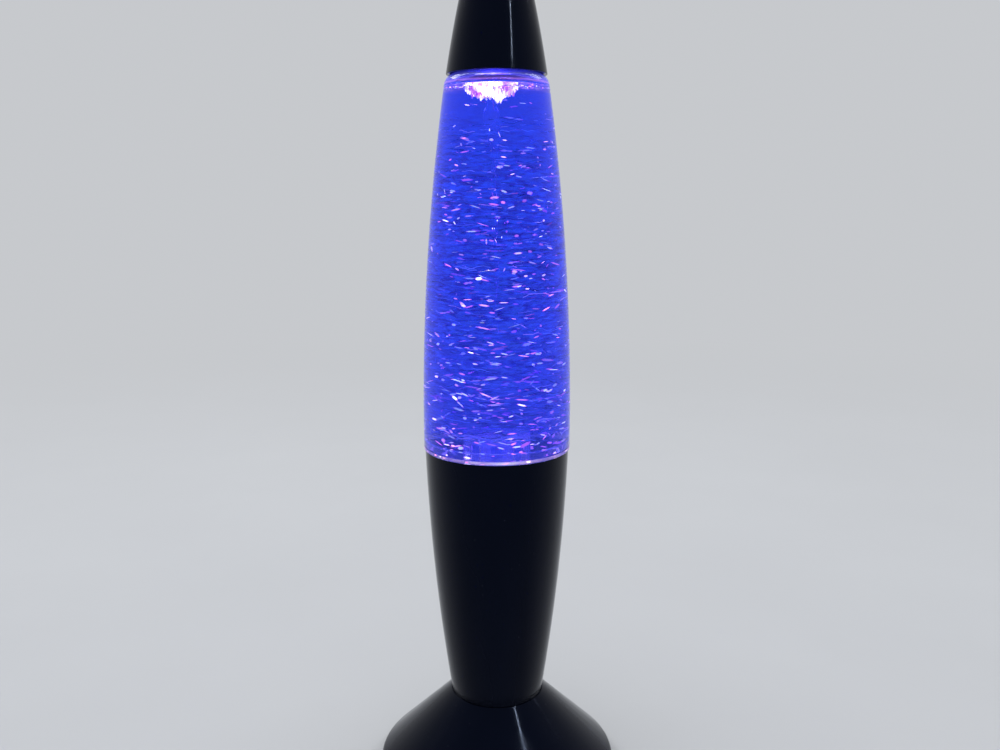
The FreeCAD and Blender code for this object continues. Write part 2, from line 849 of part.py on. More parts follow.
def switch_terminal(side, grow=0.0):
    # A blade with its root in the housing's floor
    y = side * terminal_spacing / 2
    half_x = terminal_width / 2 + grow
    half_y = terminal_thickness / 2 + grow
    bottom_z = -switch_seat_depth - switch_body_depth
    return block(-half_x, half_x, y - half_y, y + half_y, bottom_z - terminal_length,
                 bottom_z + terminal_root + grow)


def make_switch_terminals():
    return group([placed(switch_terminal(side), switch_placement()) for side in (-1, 1)])


def make_switch_rocker():
    half_x = switch_body_width / 2 - switch_side_wall - seat_gap * 2
    outline = [(-rocker_half_length, rocker_rise), (0, rocker_dip), (rocker_half_length, rocker_rise),
               (rocker_bottom_half_length, -rocker_drop), (-rocker_bottom_half_length, -rocker_drop)]
    rocker = prism([Vector(-half_x, y, z) for y, z in outline], Vector(2 * half_x, 0, 0))
    pin_half = switch_body_width / 2 - seat_gap
    pin = Part.makeCylinder(rocker_pin_radius, 2 * pin_half, Vector(-pin_half, 0, -rocker_pivot_depth),
                            Vector(1, 0, 0))
    rocker = rocker.fuse(pin)
    rocker.rotate(Vector(0, 0, -rocker_pivot_depth), Vector(1, 0, 0), rocker_tilt_deg)
    return placed(rocker, switch_placement())


# Motor and its deck

def motor_outline(inset, z_low, z_high):
    # A round bar with two flats
    flat = motor_half_flat - inset
    return disc(motor_radius - inset, z_low, z_high).common(
        centred_block(motor_radius, flat, z_low, z_high))


def make_motor_can():
    can = motor_outline(0.0, motor_can_z, deck_z)
    can = can.cut(motor_outline(motor_can_wall, motor_can_z, deck_z - motor_face_thickness))
    can = can.fuse(disc(motor_nose_radius, deck_z, deck_z + motor_nose_height))
    can = can.cut(disc(shaft_radius + bearing_gap, motor_can_z, deck_z + motor_nose_height))
    for side in (-1, 1):
        can = can.cut(disc(small_screw_radius + thread_gap, motor_can_z, deck_z, side * motor_screw_x))
    return can


def motor_tab(side, grow=0.0):
    x = side * motor_tab_x
    half_x = terminal_thickness / 2 + grow
    half_y = terminal_width / 2 + grow
    top_z = motor_can_z - motor_cap_length / 3
    return block(x - half_x, x + half_x, -half_y, half_y, top_z - motor_tab_length, top_z + grow)


def make_motor_end_cap():
    cap = motor_outline(0.0, motor_bottom_z, motor_can_z)
    cap = cap.cut(disc(shaft_radius + bearing_gap, motor_bottom_z + motor_face_thickness, motor_can_z))
    for side in (-1, 1):
        cap = cap.cut(motor_tab(side, thread_gap))
    return cap


def make_motor_terminals():
    return group([motor_tab(side) for side in (-1, 1)])


def make_motor_magnets():
    # Two curved magnets on the round walls of the can
    outer = motor_radius - motor_can_wall - thread_gap
    inner = outer - motor_magnet_thickness
    z_low = deck_z - motor_face_thickness - motor_magnet_length - 2 * motor_can_wall
    shells = ring(inner, outer, z_low, z_low + motor_magnet_length)
    reach = 2 * motor_radius
    spread = reach * math.tan(math.radians(motor_magnet_half_deg))
    flat = motor_half_flat - motor_can_wall - seat_gap
    wedge = prism([Vector(0, 0, z_low), Vector(reach, -spread, z_low), Vector(reach, spread, z_low)],
                  Vector(0, 0, motor_magnet_length))
    wedge = wedge.common(block(0, reach, -flat, flat, z_low, z_low + motor_magnet_length))
    return group([shells.common(wedge), shells.common(turned_copy(wedge, 180))])


def armature_z():
    return deck_z - motor_face_thickness - armature_length - 4 * motor_can_wall


def make_motor_armature():
    # Three poles with round winding slots between them
    z_low = armature_z()
    z_high = z_low + armature_length
    core = disc(armature_radius, z_low, z_high).cut(disc(shaft_radius, z_low, z_high))
    for x, y, angle in around(armature_pole_count, armature_slot_circle, 60):
        mouth = block(armature_slot_circle, armature_radius, -armature_mouth / 2, armature_mouth / 2,
                      z_low, z_high)
        core = core.cut([disc(armature_slot_radius, z_low, z_high, x, y), turned_copy(mouth, angle)])
    return core


def make_motor_commutator():
    top_z = armature_z() - slip_gap
    return ring(shaft_radius, commutator_radius, top_z - commutator_length, top_z)


def make_motor_shaft():
    return disc(shaft_radius, motor_bottom_z + motor_face_thickness + slip_gap, shaft_top_z())


def shaft_top_z():
    return magnet_top_z - drive_magnet_height + seat_gap


def make_motor_deck():
    deck = disc(deck_radius, deck_z, deck_top_z)
    for x, y, _ in around(led_board_post_count, led_board_post_circle, 30):
        deck = deck.fuse(disc(led_board_post_radius, deck_z, led_board_z, x, y))
        hole_z = led_board_top_z - led_board_screw_length() - seat_gap
        deck = deck.cut(disc(small_screw_radius + thread_gap, hole_z, led_board_z, x, y))
    holes = [disc(motor_nose_radius + seat_gap, deck_z, deck_top_z)]
    for x, y, _ in around(deck_post_count, deck_post_circle, 90):
        holes.append(disc(screw_radius + slip_gap, deck_z, deck_top_z, x, y))
    for side in (-1, 1):
        holes.append(disc(small_screw_radius + seat_gap, deck_z, deck_top_z, side * motor_screw_x))
        holes.append(disc(deck_wire_hole_radius, deck_z, deck_top_z, side * led_wire_x, led_wire_y))
    return deck.cut(holes)


def led_board_screw_length():
    return board_thickness + led_board_post_height + small_screw_grip / 2


def make_deck_screws():
    down = Vector(0, 0, -1)
    return group([screw(x, y, deck_top_z, down, screw_radius, deck_screw_length, screw_head_radius,
                        screw_head_height)
                  for x, y, _ in around(deck_post_count, deck_post_circle, 90)])


def make_motor_screws():
    down = Vector(0, 0, -1)
    return group([screw(side * motor_screw_x, 0, deck_top_z, down, small_screw_radius, motor_screw_length,
                        small_screw_head_radius, small_screw_head_height)
                  for side in (-1, 1)])


# Lights, magnet holder and window

def lead_places():
    # Two leads for each light, along the circle of the lights
    places = []
    for x, y, angle in around(led_count, led_circle):
        turn = math.radians(angle)
        for side in (-1, 1):
            shift = side * led_lead_spacing / 2
            places.append((x - shift * math.sin(turn), y + shift * math.cos(turn)))
    return places


def make_led_board():
    board = ring(led_board_hole_radius, led_board_radius, led_board_z, led_board_top_z)
    for x, y, _ in around(led_board_post_count, led_board_post_circle, 30):
        board = board.cut(disc(small_screw_radius + seat_gap, led_board_z, led_board_top_z, x, y))
    holes = [disc(led_lead_radius + seat_gap, led_board_z, led_board_top_z, x, y) for x, y in lead_places()]
    return board.cut(holes)


def make_leds():
    lights = []
    leads = lead_places()
    for index, (x, y, _) in enumerate(around(led_count, led_circle)):
        dome_z = led_board_top_z + led_body_height
        light = disc(led_flange_radius, led_board_top_z, led_board_top_z + led_flange_height, x, y)
        light = light.fuse(disc(led_radius, led_board_top_z, dome_z, x, y))
        light = light.fuse(Part.makeSphere(led_radius, Vector(x, y, dome_z)))
        for lead_x, lead_y in leads[2 * index:2 * index + 2]:
            light = light.fuse(disc(led_lead_radius, led_board_top_z - led_lead_length, led_board_top_z,
                                    lead_x, lead_y))
        lights.append(light)
    return group(lights)


def make_led_board_screws():
    down = Vector(0, 0, -1)
    return group([screw(x, y, led_board_top_z, down, small_screw_radius, led_board_screw_length(),
                        small_screw_head_radius, small_screw_head_height)
                  for x, y, _ in around(led_board_post_count, led_board_post_circle, 30)])


def make_magnet_holder():
    holder = disc(magnet_holder_radius, magnet_holder_z, magnet_top_z)
    holder = holder.fuse(disc(magnet_holder_hub_radius, hub_z, magnet_holder_z))
    holder = holder.cut(disc(shaft_radius, hub_z, shaft_top_z()))
    pockets = [disc(drive_magnet_radius + thread_gap, magnet_top_z - drive_magnet_height, magnet_top_z,
                    side * drive_magnet_circle)
               for side in (-1, 1)]
    return holder.cut(pockets)


def make_drive_magnets():
    return group([disc(drive_magnet_radius, magnet_top_z - drive_magnet_height, magnet_top_z,
                       side * drive_magnet_circle)
                  for side in (-1, 1)])


def make_light_window():
    return disc(window_radius, window_z, window_top_z)


# Bottle, its base and what turns in it

def bottle_section(inset):
    # The bottle filled in, from the foot to the neck's top
    round_reach = shoulder_rounding - inset
    side_top = at(shoulder_centre_r + round_reach * math.cos(shoulder_lean),
                  shoulder_centre_z + round_reach * math.sin(shoulder_lean))
    half = (math.pi / 2 + shoulder_lean) / 2
    shoulder_middle = at(shoulder_centre_r + round_reach * math.cos(half),
                         shoulder_centre_z + round_reach * math.sin(half))
    level_z = shoulder_top_z - inset
    shoulder_end = at(shoulder_centre_r, level_z)
    fillet_reach = neck_fillet + inset
    fillet_r = neck_radius + neck_fillet
    fillet_z = shoulder_top_z + neck_fillet
    slant = fillet_reach * math.sqrt(0.5)
    side_r = bottle_radius - inset
    neck_r = neck_radius - inset
    edges = path(at(0, bottle_foot_z), at(side_r, bottle_foot_z), at(side_r, taper_z))
    edges.append(bottle_side.edge(taper_z, side_top.z, inset))
    edges.append(arc(side_top, shoulder_middle, shoulder_end))
    edges += path(shoulder_end, at(fillet_r, level_z))
    edges.append(arc(at(fillet_r, level_z), at(fillet_r - slant, fillet_z - slant), at(neck_r, fillet_z)))
    edges += path(at(neck_r, fillet_z), at(neck_r, neck_top_z), at(0, neck_top_z), at(0, bottle_foot_z))
    return turned(edges)


def make_bottle():
    outer = bottle_section(0.0).fuse(disc(neck_ring_radius, neck_ring_z, neck_ring_top_z))
    return outer.cut(bottle_section(bottle_wall))


def make_bottle_base():
    # The clear moulding that closes the bottle: a flange on the rim and a plug that drops into the cone
    floor_low_z = bottle_floor_z - bottle_floor_thickness
    base = disc(bottle_radius, rim_z, bottle_foot_z)
    base = base.fuse(disc(collar_radius, rim_z, bottle_foot_z + collar_height))
    base = base.fuse(disc(plug_radius, plug_bottom_z, rim_z))
    base = base.cut(disc(plug_inner_radius, plug_bottom_z, floor_low_z))
    base = base.cut(disc(plug_inner_radius, bottle_floor_z, bottle_foot_z + collar_height))
    base = base.fuse(disc(impeller_boss_radius, bottle_floor_z, bottle_floor_z + impeller_boss_height))
    pin_seat_z = bottle_floor_z - pin_seat_depth
    return base.cut(disc(pin_radius, pin_seat_z, bottle_floor_z + impeller_boss_height))


def pin_top_z():
    return cage_top_z - cage_roof


def make_impeller_pin():
    return disc(pin_radius, bottle_floor_z - pin_seat_depth, pin_top_z())


def impeller_top_z():
    return impeller_z + impeller_disc_height + impeller_blade_height


def make_impeller():
    top_z = impeller_top_z()
    disc_top_z = impeller_z + impeller_disc_height
    body = disc(impeller_radius, impeller_z, disc_top_z).fuse(disc(impeller_hub_radius, impeller_z, top_z))
    half = impeller_blade_thickness / 2
    blade = block(0, impeller_radius - slip_gap, -half, half, disc_top_z, top_z)
    body = body.fuse([turned_copy(blade, angle) for _, _, angle in around(impeller_blade_count, 1, 0)])
    body = body.cut(disc(pin_radius + bearing_gap, impeller_z, top_z))
    pockets = [disc(impeller_magnet_radius + thread_gap, impeller_z, impeller_z + impeller_magnet_height,
                    side * impeller_magnet_circle)
               for side in (-1, 1)]
    return body.cut(pockets)


def make_impeller_magnets():
    return group([disc(impeller_magnet_radius, impeller_z, impeller_z + impeller_magnet_height,
                       side * impeller_magnet_circle)
                  for side in (-1, 1)])


def make_impeller_cage():
    roof_z = cage_top_z - cage_roof
    cage = ring(cage_radius - cage_wall, cage_radius, bottle_floor_z, cage_top_z)
    cage = cage.fuse(disc(cage_radius, roof_z, cage_top_z))
    cage = cage.fuse(ring(pin_radius, impeller_boss_radius, impeller_top_z() + slip_gap, roof_z))
    slot_z = bottle_floor_z + cage_slot_start
    half = cage_slot_width / 2
    slot = block(cage_radius - 2 * cage_wall, cage_radius + cage_wall, -half, half,
                 slot_z, slot_z + cage_slot_height)
    cuts = [turned_copy(slot, angle) for _, _, angle in around(cage_slot_count, 1, 0)]
    cuts += [disc(cage_roof_hole_radius, roof_z, cage_top_z, x, y)
             for x, y, _ in around(cage_slot_count, cage_roof_hole_circle, 0)]
    return cage.cut(cuts)


def make_water():
    # The water with the vortex cavity, around the cage
    wall_r = plug_inner_radius - water_film
    collar_top_z = bottle_foot_z + collar_height + water_film
    inset = bottle_wall + water_film
    side_r = bottle_radius - inset
    floor_z = bottle_floor_z + water_film
    cage_r = cage_radius + water_film
    cage_z = cage_top_z + water_film
    funnel_z = water_z - funnel_depth
    tip_z = funnel_z - core_length
    funnel = Part.BezierCurve()
    funnel.setPoles([at(funnel_radius, water_z), at(2 * core_radius, water_z), at(core_radius, funnel_z)])
    edges = path(at(0, cage_z), at(cage_r, cage_z), at(cage_r, floor_z), at(wall_r, floor_z),
                 at(wall_r, collar_top_z), at(side_r, collar_top_z), at(side_r, taper_z))
    edges.append(bottle_side.edge(taper_z, water_z, inset))
    edges += path(at(bottle_side.radius_at(water_z, inset), water_z), at(funnel_radius, water_z))
    edges.append(funnel.toShape())
    edges += path(at(core_radius, funnel_z), at(core_tip_radius, tip_z), at(0, tip_z), at(0, cage_z))
    return turned(edges)


def flake(index):
    # A thin six-sided flake, spread by the golden angle and thickest near the bottom
    share = (index + 0.5) / flake_count
    golden = (math.sqrt(5) - 1) / 2
    low_z = cage_top_z + flake_edge_gap
    high_z = water_z - funnel_depth - flake_edge_gap
    z = low_z + (high_z - low_z) * share ** flake_settling
    least_r = core_radius + flake_edge_gap
    most_r = bottle_side.radius_at(max(z, taper_z), bottle_wall) - flake_edge_gap
    spread = index * math.sqrt(7) % 1.0
    radius = math.sqrt(least_r ** 2 + (most_r ** 2 - least_r ** 2) * spread)
    turn = 2 * math.pi * golden * index
    corners = [Vector(x, y, 0) for x, y, _ in around(6, flake_radius)]
    plate = prism(corners, Vector(0, 0, flake_thickness))
    tilt = flake_tilt_deg * math.sin(golden * 4 * index)
    place = Vector(radius * math.cos(turn), radius * math.sin(turn), z)
    plate.Placement = Placement(place, Rotation(math.degrees(turn), tilt, 360 * golden * index))
    return plate


def make_glitter_flakes():
    return group([flake(index) for index in range(flake_count)])


# Lid and cap

def make_lid_gasket():
    return ring(neck_radius - gasket_width, neck_radius, neck_top_z, gasket_top_z)


def make_bottle_lid():
    lid = disc(lid_outer_radius, lid_z, lid_top_z)
    ribs = []
    for _, _, angle in around(lid_rib_count, 1, 0):
        rib = block(lid_outer_radius - lid_wall / 2, lid_outer_radius + lid_rib_height,
                    -lid_rib_height, lid_rib_height, lid_z, lid_top_z - lid_roof / 2)
        ribs.append(turned_copy(rib, angle))
    lid = lid.fuse(ribs)
    return lid.cut(disc(lid_inner_radius, lid_z, gasket_top_z))


def cap_solid(inset):
    # The cap filled in, with a rounded top edge
    reach = cap_rounding - inset
    lean = cap_side.lean_at(cap_side_top_z)
    centre_r = cap_top_radius - cap_rounding * math.cos(lean)
    centre_z = cap_side_top_z - cap_rounding * math.sin(lean)
    side_top = at(centre_r + reach * math.cos(lean), centre_z + reach * math.sin(lean))
    half = (math.pi / 2 + lean) / 2
    middle = at(centre_r + reach * math.cos(half), centre_z + reach * math.sin(half))
    top = at(centre_r, centre_z + reach)
    edges = path(at(0, cap_z), at(cap_side.radius_at(cap_z, inset), cap_z))
    edges.append(cap_side.edge(cap_z, side_top.z, inset))
    edges.append(arc(side_top, middle, top))
    edges += path(top, at(0, top.z), at(0, cap_z))
    return turned(edges)


def make_top_cap():
    # The ribs stand on the neck's ring and keep clear of the lid
    outer = cap_solid(0.0)
    cap = outer.cut(cap_solid(cap_wall))
    rib_r = lid_outer_radius + lid_rib_height + cap_rib_gap
    rib = block(rib_r, cap_radius, -cap_rib_thickness / 2, cap_rib_thickness / 2,
                neck_ring_top_z, neck_ring_top_z + cap_rib_height)
    ribs = [turned_copy(rib, angle).common(outer) for _, _, angle in around(cap_rib_count, 1, 30)]
    return cap.fuse(ribs)


# Wires

def switch_point(side):
    # The end of a switch terminal and the way that it points
    end_z = -switch_seat_depth - switch_body_depth - terminal_length
    placement = switch_placement()
    end = placement.multVec(Vector(0, side * terminal_spacing / 2, end_z))
    away = placement.Rotation.multVec(Vector(0, 0, -1))
    return end, away


def make_switch_wires():
    wires = []
    for side in (-1, 1):
        end, away = switch_point(side)
        knee = end + away * (1.5 * wire_radius)
        wires.append(wire_along([end, knee, Vector(0, knee.y, power_board_top_z)]))
    return group(wires)


def make_battery_wires():
    # From the side of each end contact's tab, over the tray's roof and down to the board
    wires = []
    run_z = tray_top_z + 2 * wire_radius
    pad_y = power_board_inner_y + 2 * wire_radius
    for side in (-1, 1):
        start_x = side * (tray_half_x - seat_gap / 2 - contact_thickness)
        pad_x = side * (board_wire_x - 4 * wire_radius)
        points = [Vector(start_x, side * cell_pitch, run_z),
                  Vector(start_x * 0.7, side * cell_pitch, run_z),
                  Vector(pad_x, pad_y, run_z),
                  Vector(pad_x, pad_y, power_board_top_z)]
        wires.append(wire_along(points))
    return group(wires)


def make_led_wires():
    wires = []
    hole_x = wire_hole_radius / 3
    pad_y = power_board_inner_y + 5 * wire_radius
    knee_z = tray_top_z + 4 * wire_radius
    turn_z = waist_z - waist_plate - 8 * wire_radius
    for side in (-1, 1):
        points = [Vector(side * board_wire_x, pad_y, power_board_top_z),
                  Vector(side * board_wire_x, pad_y, knee_z),
                  Vector(side * hole_x, led_wire_y, turn_z),
                  Vector(side * hole_x, led_wire_y, motor_bottom_z - motor_radius),
                  Vector(side * led_wire_x, led_wire_y, motor_bottom_z + motor_cap_length),
                  Vector(side * led_wire_x, led_wire_y, led_board_z)]
        wires.append(wire_along(points))
    return group(wires)


def make_motor_wires():
    wires = []
    hole_x = wire_hole_radius * 0.6
    pad_y = power_board_inner_y + 11 * wire_radius
    knee_z = tray_top_z + 11 * wire_radius
    turn_z = waist_z - waist_plate - 5 * wire_radius
    tab_z = motor_can_z - motor_cap_length / 3 - motor_tab_length
    for side in (-1, 1):
        points = [Vector(side * (board_wire_x + wire_radius / 2), pad_y, power_board_top_z),
                  Vector(side * (board_wire_x + wire_radius / 2), pad_y, knee_z),
                  Vector(side * hole_x, -led_wire_y, turn_z),
                  Vector(side * hole_x, -led_wire_y, tab_z - motor_radius),
                  Vector(side * motor_tab_x, 0, tab_z - 5 * wire_radius),
                  Vector(side * motor_tab_x, 0, tab_z)]
        wires.append(wire_along(points))
    return group(wires)


makers = {
    "foot_shell": make_foot_shell,
    "housing_cone": make_housing_cone,
    "bottom_cover": make_bottom_cover,
    "battery_door": make_battery_door,
    "rubber_feet": make_rubber_feet,
    "cover_screws": make_cover_screws,
    "waist_screws": make_waist_screws,
    "battery_cells": make_battery_cells,
    "bridge_contacts": make_bridge_contacts,
    "end_contacts": make_end_contacts,
    "socket_shell": make_socket_shell,
    "socket_tongue": make_socket_tongue,
    "power_board": make_power_board,
    "board_chips": make_board_chips,
    "board_screws": make_board_screws,
    "switch_housing": make_switch_housing,
    "switch_terminals": make_switch_terminals,
    "switch_rocker": make_switch_rocker,
    "motor_can": make_motor_can,
    "motor_end_cap": make_motor_end_cap,
    "motor_terminals": make_motor_terminals,
    "motor_magnets": make_motor_magnets,
    "motor_armature": make_motor_armature,
    "motor_commutator": make_motor_commutator,
    "motor_shaft": make_motor_shaft,
    "motor_deck": make_motor_deck,
    "deck_screws": make_deck_screws,
    "motor_screws": make_motor_screws,
    "led_board": make_led_board,
    "leds": make_leds,
    "led_board_screws": make_led_board_screws,
    "magnet_holder": make_magnet_holder,
    "drive_magnets": make_drive_magnets,
    "light_window": make_light_window,
    "bottle": make_bottle,
    "bottle_base": make_bottle_base,
    "impeller_pin": make_impeller_pin,
    "impeller": make_impeller,
    "impeller_magnets": make_impeller_magnets,
    "impeller_cage": make_impeller_cage,
    "water": make_water,
    "glitter_flakes": make_glitter_flakes,
    "lid_gasket": make_lid_gasket,
    "bottle_lid": make_bottle_lid,
    "top_cap": make_top_cap,
    "switch_wires": make_switch_wires,
    "battery_wires": make_battery_wires,
    "led_wires": make_led_wires,
    "motor_wires": make_motor_wires,
}

os.makedirs("parts", exist_ok=True)
for name, maker in makers.items():
    shape = maker()
    shape.exportStep("parts/" + name + ".step")
    verdict = "valid" if shape.isValid() else "BAD"
    print(name, len(shape.Solids), "solids", round(shape.Volume, 1), "mm3", verdict)
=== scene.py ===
import math

import bmesh
import bpy
from mathutils import Matrix, Vector


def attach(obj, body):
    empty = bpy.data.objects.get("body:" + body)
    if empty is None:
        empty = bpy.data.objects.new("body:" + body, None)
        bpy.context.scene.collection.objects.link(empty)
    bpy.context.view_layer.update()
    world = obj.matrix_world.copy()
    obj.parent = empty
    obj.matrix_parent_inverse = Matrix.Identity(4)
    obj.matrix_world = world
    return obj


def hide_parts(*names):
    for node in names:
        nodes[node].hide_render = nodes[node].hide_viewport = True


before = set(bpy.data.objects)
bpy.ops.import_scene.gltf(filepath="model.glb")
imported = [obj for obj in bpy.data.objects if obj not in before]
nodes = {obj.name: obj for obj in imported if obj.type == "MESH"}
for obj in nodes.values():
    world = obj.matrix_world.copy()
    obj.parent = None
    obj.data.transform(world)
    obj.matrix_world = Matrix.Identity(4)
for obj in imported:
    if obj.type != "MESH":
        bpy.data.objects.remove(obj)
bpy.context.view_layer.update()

# Tornado glitter lamp. Sizes in the dictionaries are millimetres unless their names say otherwise.
mm = 0.001
wholeTurn = 2 * math.pi
scene = bpy.context.scene
print("frame loaded:", len(nodes), "nodes")


# Small helpers for node trees. A socket or node knows its own tree as id_data.

def put(tree, kind, sockets=None, **settings):
    node = tree.nodes.new(kind)
    for key, value in settings.items():
        setattr(node, key, value)
    for socket, value in (sockets or {}).items():
        feed(node.inputs[socket], value)
    return node


def isSocket(value):
    return isinstance(value, bpy.types.NodeSocket)


def feed(socket, value):
    if isSocket(value):
        socket.id_data.links.new(value, socket)
    else:
        socket.default_value = value


def beside(values, kind, **settings):
    # A node in the tree of the values that feed its first inputs
    tree = next(value.id_data for value in values if isSocket(value))
    return put(tree, kind, dict(enumerate(values)), **settings).outputs


def calc(operation, first, second=0.0):
    return beside((first, second), "ShaderNodeMath", operation=operation)[0]


def plus(first, second):
    return calc("ADD", first, second)


def minus(first, second):
    return calc("SUBTRACT", first, second)


def times(first, second):
    return calc("MULTIPLY", first, second)


def vector(x, y, z):
    return beside((x, y, z), "ShaderNodeCombineXYZ")[0]


def split(source):
    return beside((source,), "ShaderNodeSeparateXYZ")[:3]


def span(source, low, high, toLow=0.0, toHigh=1.0, smooth=False):
    kind = "SMOOTHSTEP" if smooth else "LINEAR"
    return beside((source, low, high, toLow, toHigh), "ShaderNodeMapRange", interpolation_type=kind)[0]


def between(share, low, high):
    return span(share, 0.0, 1.0, low, high)


# Helpers for materials

def newFinish(name, plain):
    # plain holds what is the same all over, and goes straight on the shader's own sockets
    finish = bpy.data.materials.new(name)
    finish.use_nodes = True
    shader = finish.node_tree.nodes["Principled BSDF"]
    for label, value in plain.items():
        shader.inputs[label].default_value = value
    return finish, shader


def paint(shader, label, value):
    feed(shader.inputs[label], value)


def objectSpot(shader):
    return put(shader.id_data, "ShaderNodeTexCoord").outputs["Object"]


def stored(shader, label):
    return put(shader.id_data, "ShaderNodeAttribute", attribute_name=label).outputs["Fac"]


def grain(spot, size, detail=3.0, roughness=0.55, stretch=None, swirl=0.0):
    # Noise whose features are about size millimetres across
    if stretch:
        spot = put(spot.id_data, "ShaderNodeMapping", {"Vector": spot, "Scale": stretch}).outputs[0]
    sockets = {"Vector": spot, "Scale": 1000.0 / size, "Detail": detail, "Roughness": roughness,
               "Distortion": swirl}
    return put(spot.id_data, "ShaderNodeTexNoise", sockets).outputs["Fac"]


def specks(spot, size, amount):
    # Sparse small dots: 1 on a dot and 0 elsewhere
    cells = put(spot.id_data, "ShaderNodeTexVoronoi", {"Vector": spot, "Scale": 1000.0 / size}).outputs
    near = span(cells["Distance"], 0.10, 0.02)
    return times(near, calc("LESS_THAN", split(cells["Color"])[0], amount))


def shades(source, *stops):
    # A colour ramp from pairs of place and colour
    ramp = put(source.id_data, "ShaderNodeValToRGB", {0: source})
    band = ramp.color_ramp
    while len(band.elements) < len(stops):
        band.elements.new(0.5)
    for element, (place, colour) in zip(band.elements, stops):
        element.position = place
        element.color = (*colour, 1.0)
    return ramp.outputs["Color"]


def twoTone(source, dark, light, low=0.3, high=0.7):
    return shades(source, (low, dark), (high, light))


def blended(share, first, second):
    mix = put(share.id_data, "ShaderNodeMix", {0: share}, data_type="RGBA")
    for socket, colour in ((6, first), (7, second)):
        feed(mix.inputs[socket], colour if isSocket(colour) else (*colour, 1.0))
    return mix.outputs[2]


def roughen(shader, source, smoothest, roughest):
    paint(shader, "Roughness", span(source, 0.3, 0.7, smoothest, roughest))


def relief(shader, height, depth):
    # depth is how far the surface seems to stand out, in millimetres
    sockets = {"Height": height, "Distance": depth * mm, "Strength": 1.0}
    paint(shader, "Normal", put(shader.id_data, "ShaderNodeBump", sockets).outputs[0])


def reachOf(x, y):
    return calc("SQRT", plus(calc("POWER", x, 2.0), calc("POWER", y, 2.0)))


def lit(colour, power):
    return {"Emission Color": (*colour, 1.0), "Emission Strength": power}


def paintedGlow(shader, colour, power):
    # The same colour is reflected, and given off as painted light
    paint(shader, "Base Color", colour)
    paint(shader, "Emission Color", colour)
    paint(shader, "Emission Strength", power)


def wallTint(shader, colour, density):
    # Light takes on the colour on its way through
    tint = put(shader.id_data, "ShaderNodeVolumeAbsorption", {"Color": (*colour, 1.0), "Density": density})
    feed(shader.id_data.nodes["Material Output"].inputs["Volume"], tint.outputs[0])


# Finishes of the mouldings and metal parts

def glossBlackFinish():
    # Piano-black moulding: faint flow mottling, orange peel, fingertip smudges and a little dust
    look = {"flow": 34.0, "peel": 1.6, "peelDepth": 0.0045, "smudge": 15.0, "dust": 3.4, "dustShare": 0.12,
            "dustRoughness": 0.3}
    # The blue specular tint is painted reflection: every reflection on the black takes the lamp's blue light
    finish, shader = newFinish("glossBlack", {"Specular IOR Level": 0.14,
                                              "Specular Tint": (0.28, 0.4, 0.85, 1.0)})
    spot = objectSpot(shader)
    flow = grain(spot, look["flow"], 4.0, stretch=(1.0, 1.0, 0.35))
    body = twoTone(flow, (0.0008, 0.0012, 0.004), (0.002, 0.0026, 0.007))
    dust = specks(spot, look["dust"], look["dustShare"])
    paint(shader, "Base Color", blended(dust, body, (0.035, 0.037, 0.046)))
    smudge = grain(spot, look["smudge"], 5.0, 0.62)
    rough = span(smudge, 0.42, 0.7, 0.08, 0.18)
    paint(shader, "Roughness", plus(rough, times(dust, look["dustRoughness"])))
    relief(shader, grain(spot, look["peel"], 2.0, 0.4), look["peelDepth"])
    return finish


def mouldedFinish(name, dark, light, grainSize, grainDepth, rough, plain=None):
    # Moulded plastic with a spark-eroded grain
    finish, shader = newFinish(name, plain or {"Specular IOR Level": 0.45})
    spot = objectSpot(shader)
    mottle = grain(spot, 9.0, 4.0)
    fine = grain(spot, grainSize, 2.0, 0.5)
    tone = plus(times(mottle, 0.7), times(fine, 0.3))
    paint(shader, "Base Color", twoTone(tone, dark, light, 0.35, 0.65))
    roughen(shader, fine, *rough)
    relief(shader, fine, grainDepth)
    return finish


def rubberFinish(name, dark, light):
    # Soft rubber: matt, finely pitted, paler where it is rubbed
    finish, shader = newFinish(name, {"Specular IOR Level": 0.3, "Sheen Weight": 0.12})
    spot = objectSpot(shader)
    bloom = grain(spot, 3.0, 5.0, 0.65)
    pits = grain(spot, 0.35, 2.0)
    paint(shader, "Base Color", twoTone(bloom, dark, light, 0.38, 0.66))
    roughen(shader, pits, 0.72, 0.92)
    relief(shader, pits, 0.02)
    return finish


def metalFinish(name, dark, light, rough, drawn=(1.0, 1.0, 0.06)):
    # Plated or drawn metal: long fine lines and a little clouding
    finish, shader = newFinish(name, {"Metallic": 1.0})
    spot = objectSpot(shader)
    lines = grain(spot, 0.4, 3.0, 0.6, stretch=drawn)
    cloud = grain(spot, 5.0, 4.0)
    paint(shader, "Base Color", twoTone(cloud, dark, light, 0.3, 0.68))
    roughen(shader, lines, *rough)
    relief(shader, lines, 0.004)
    return finish


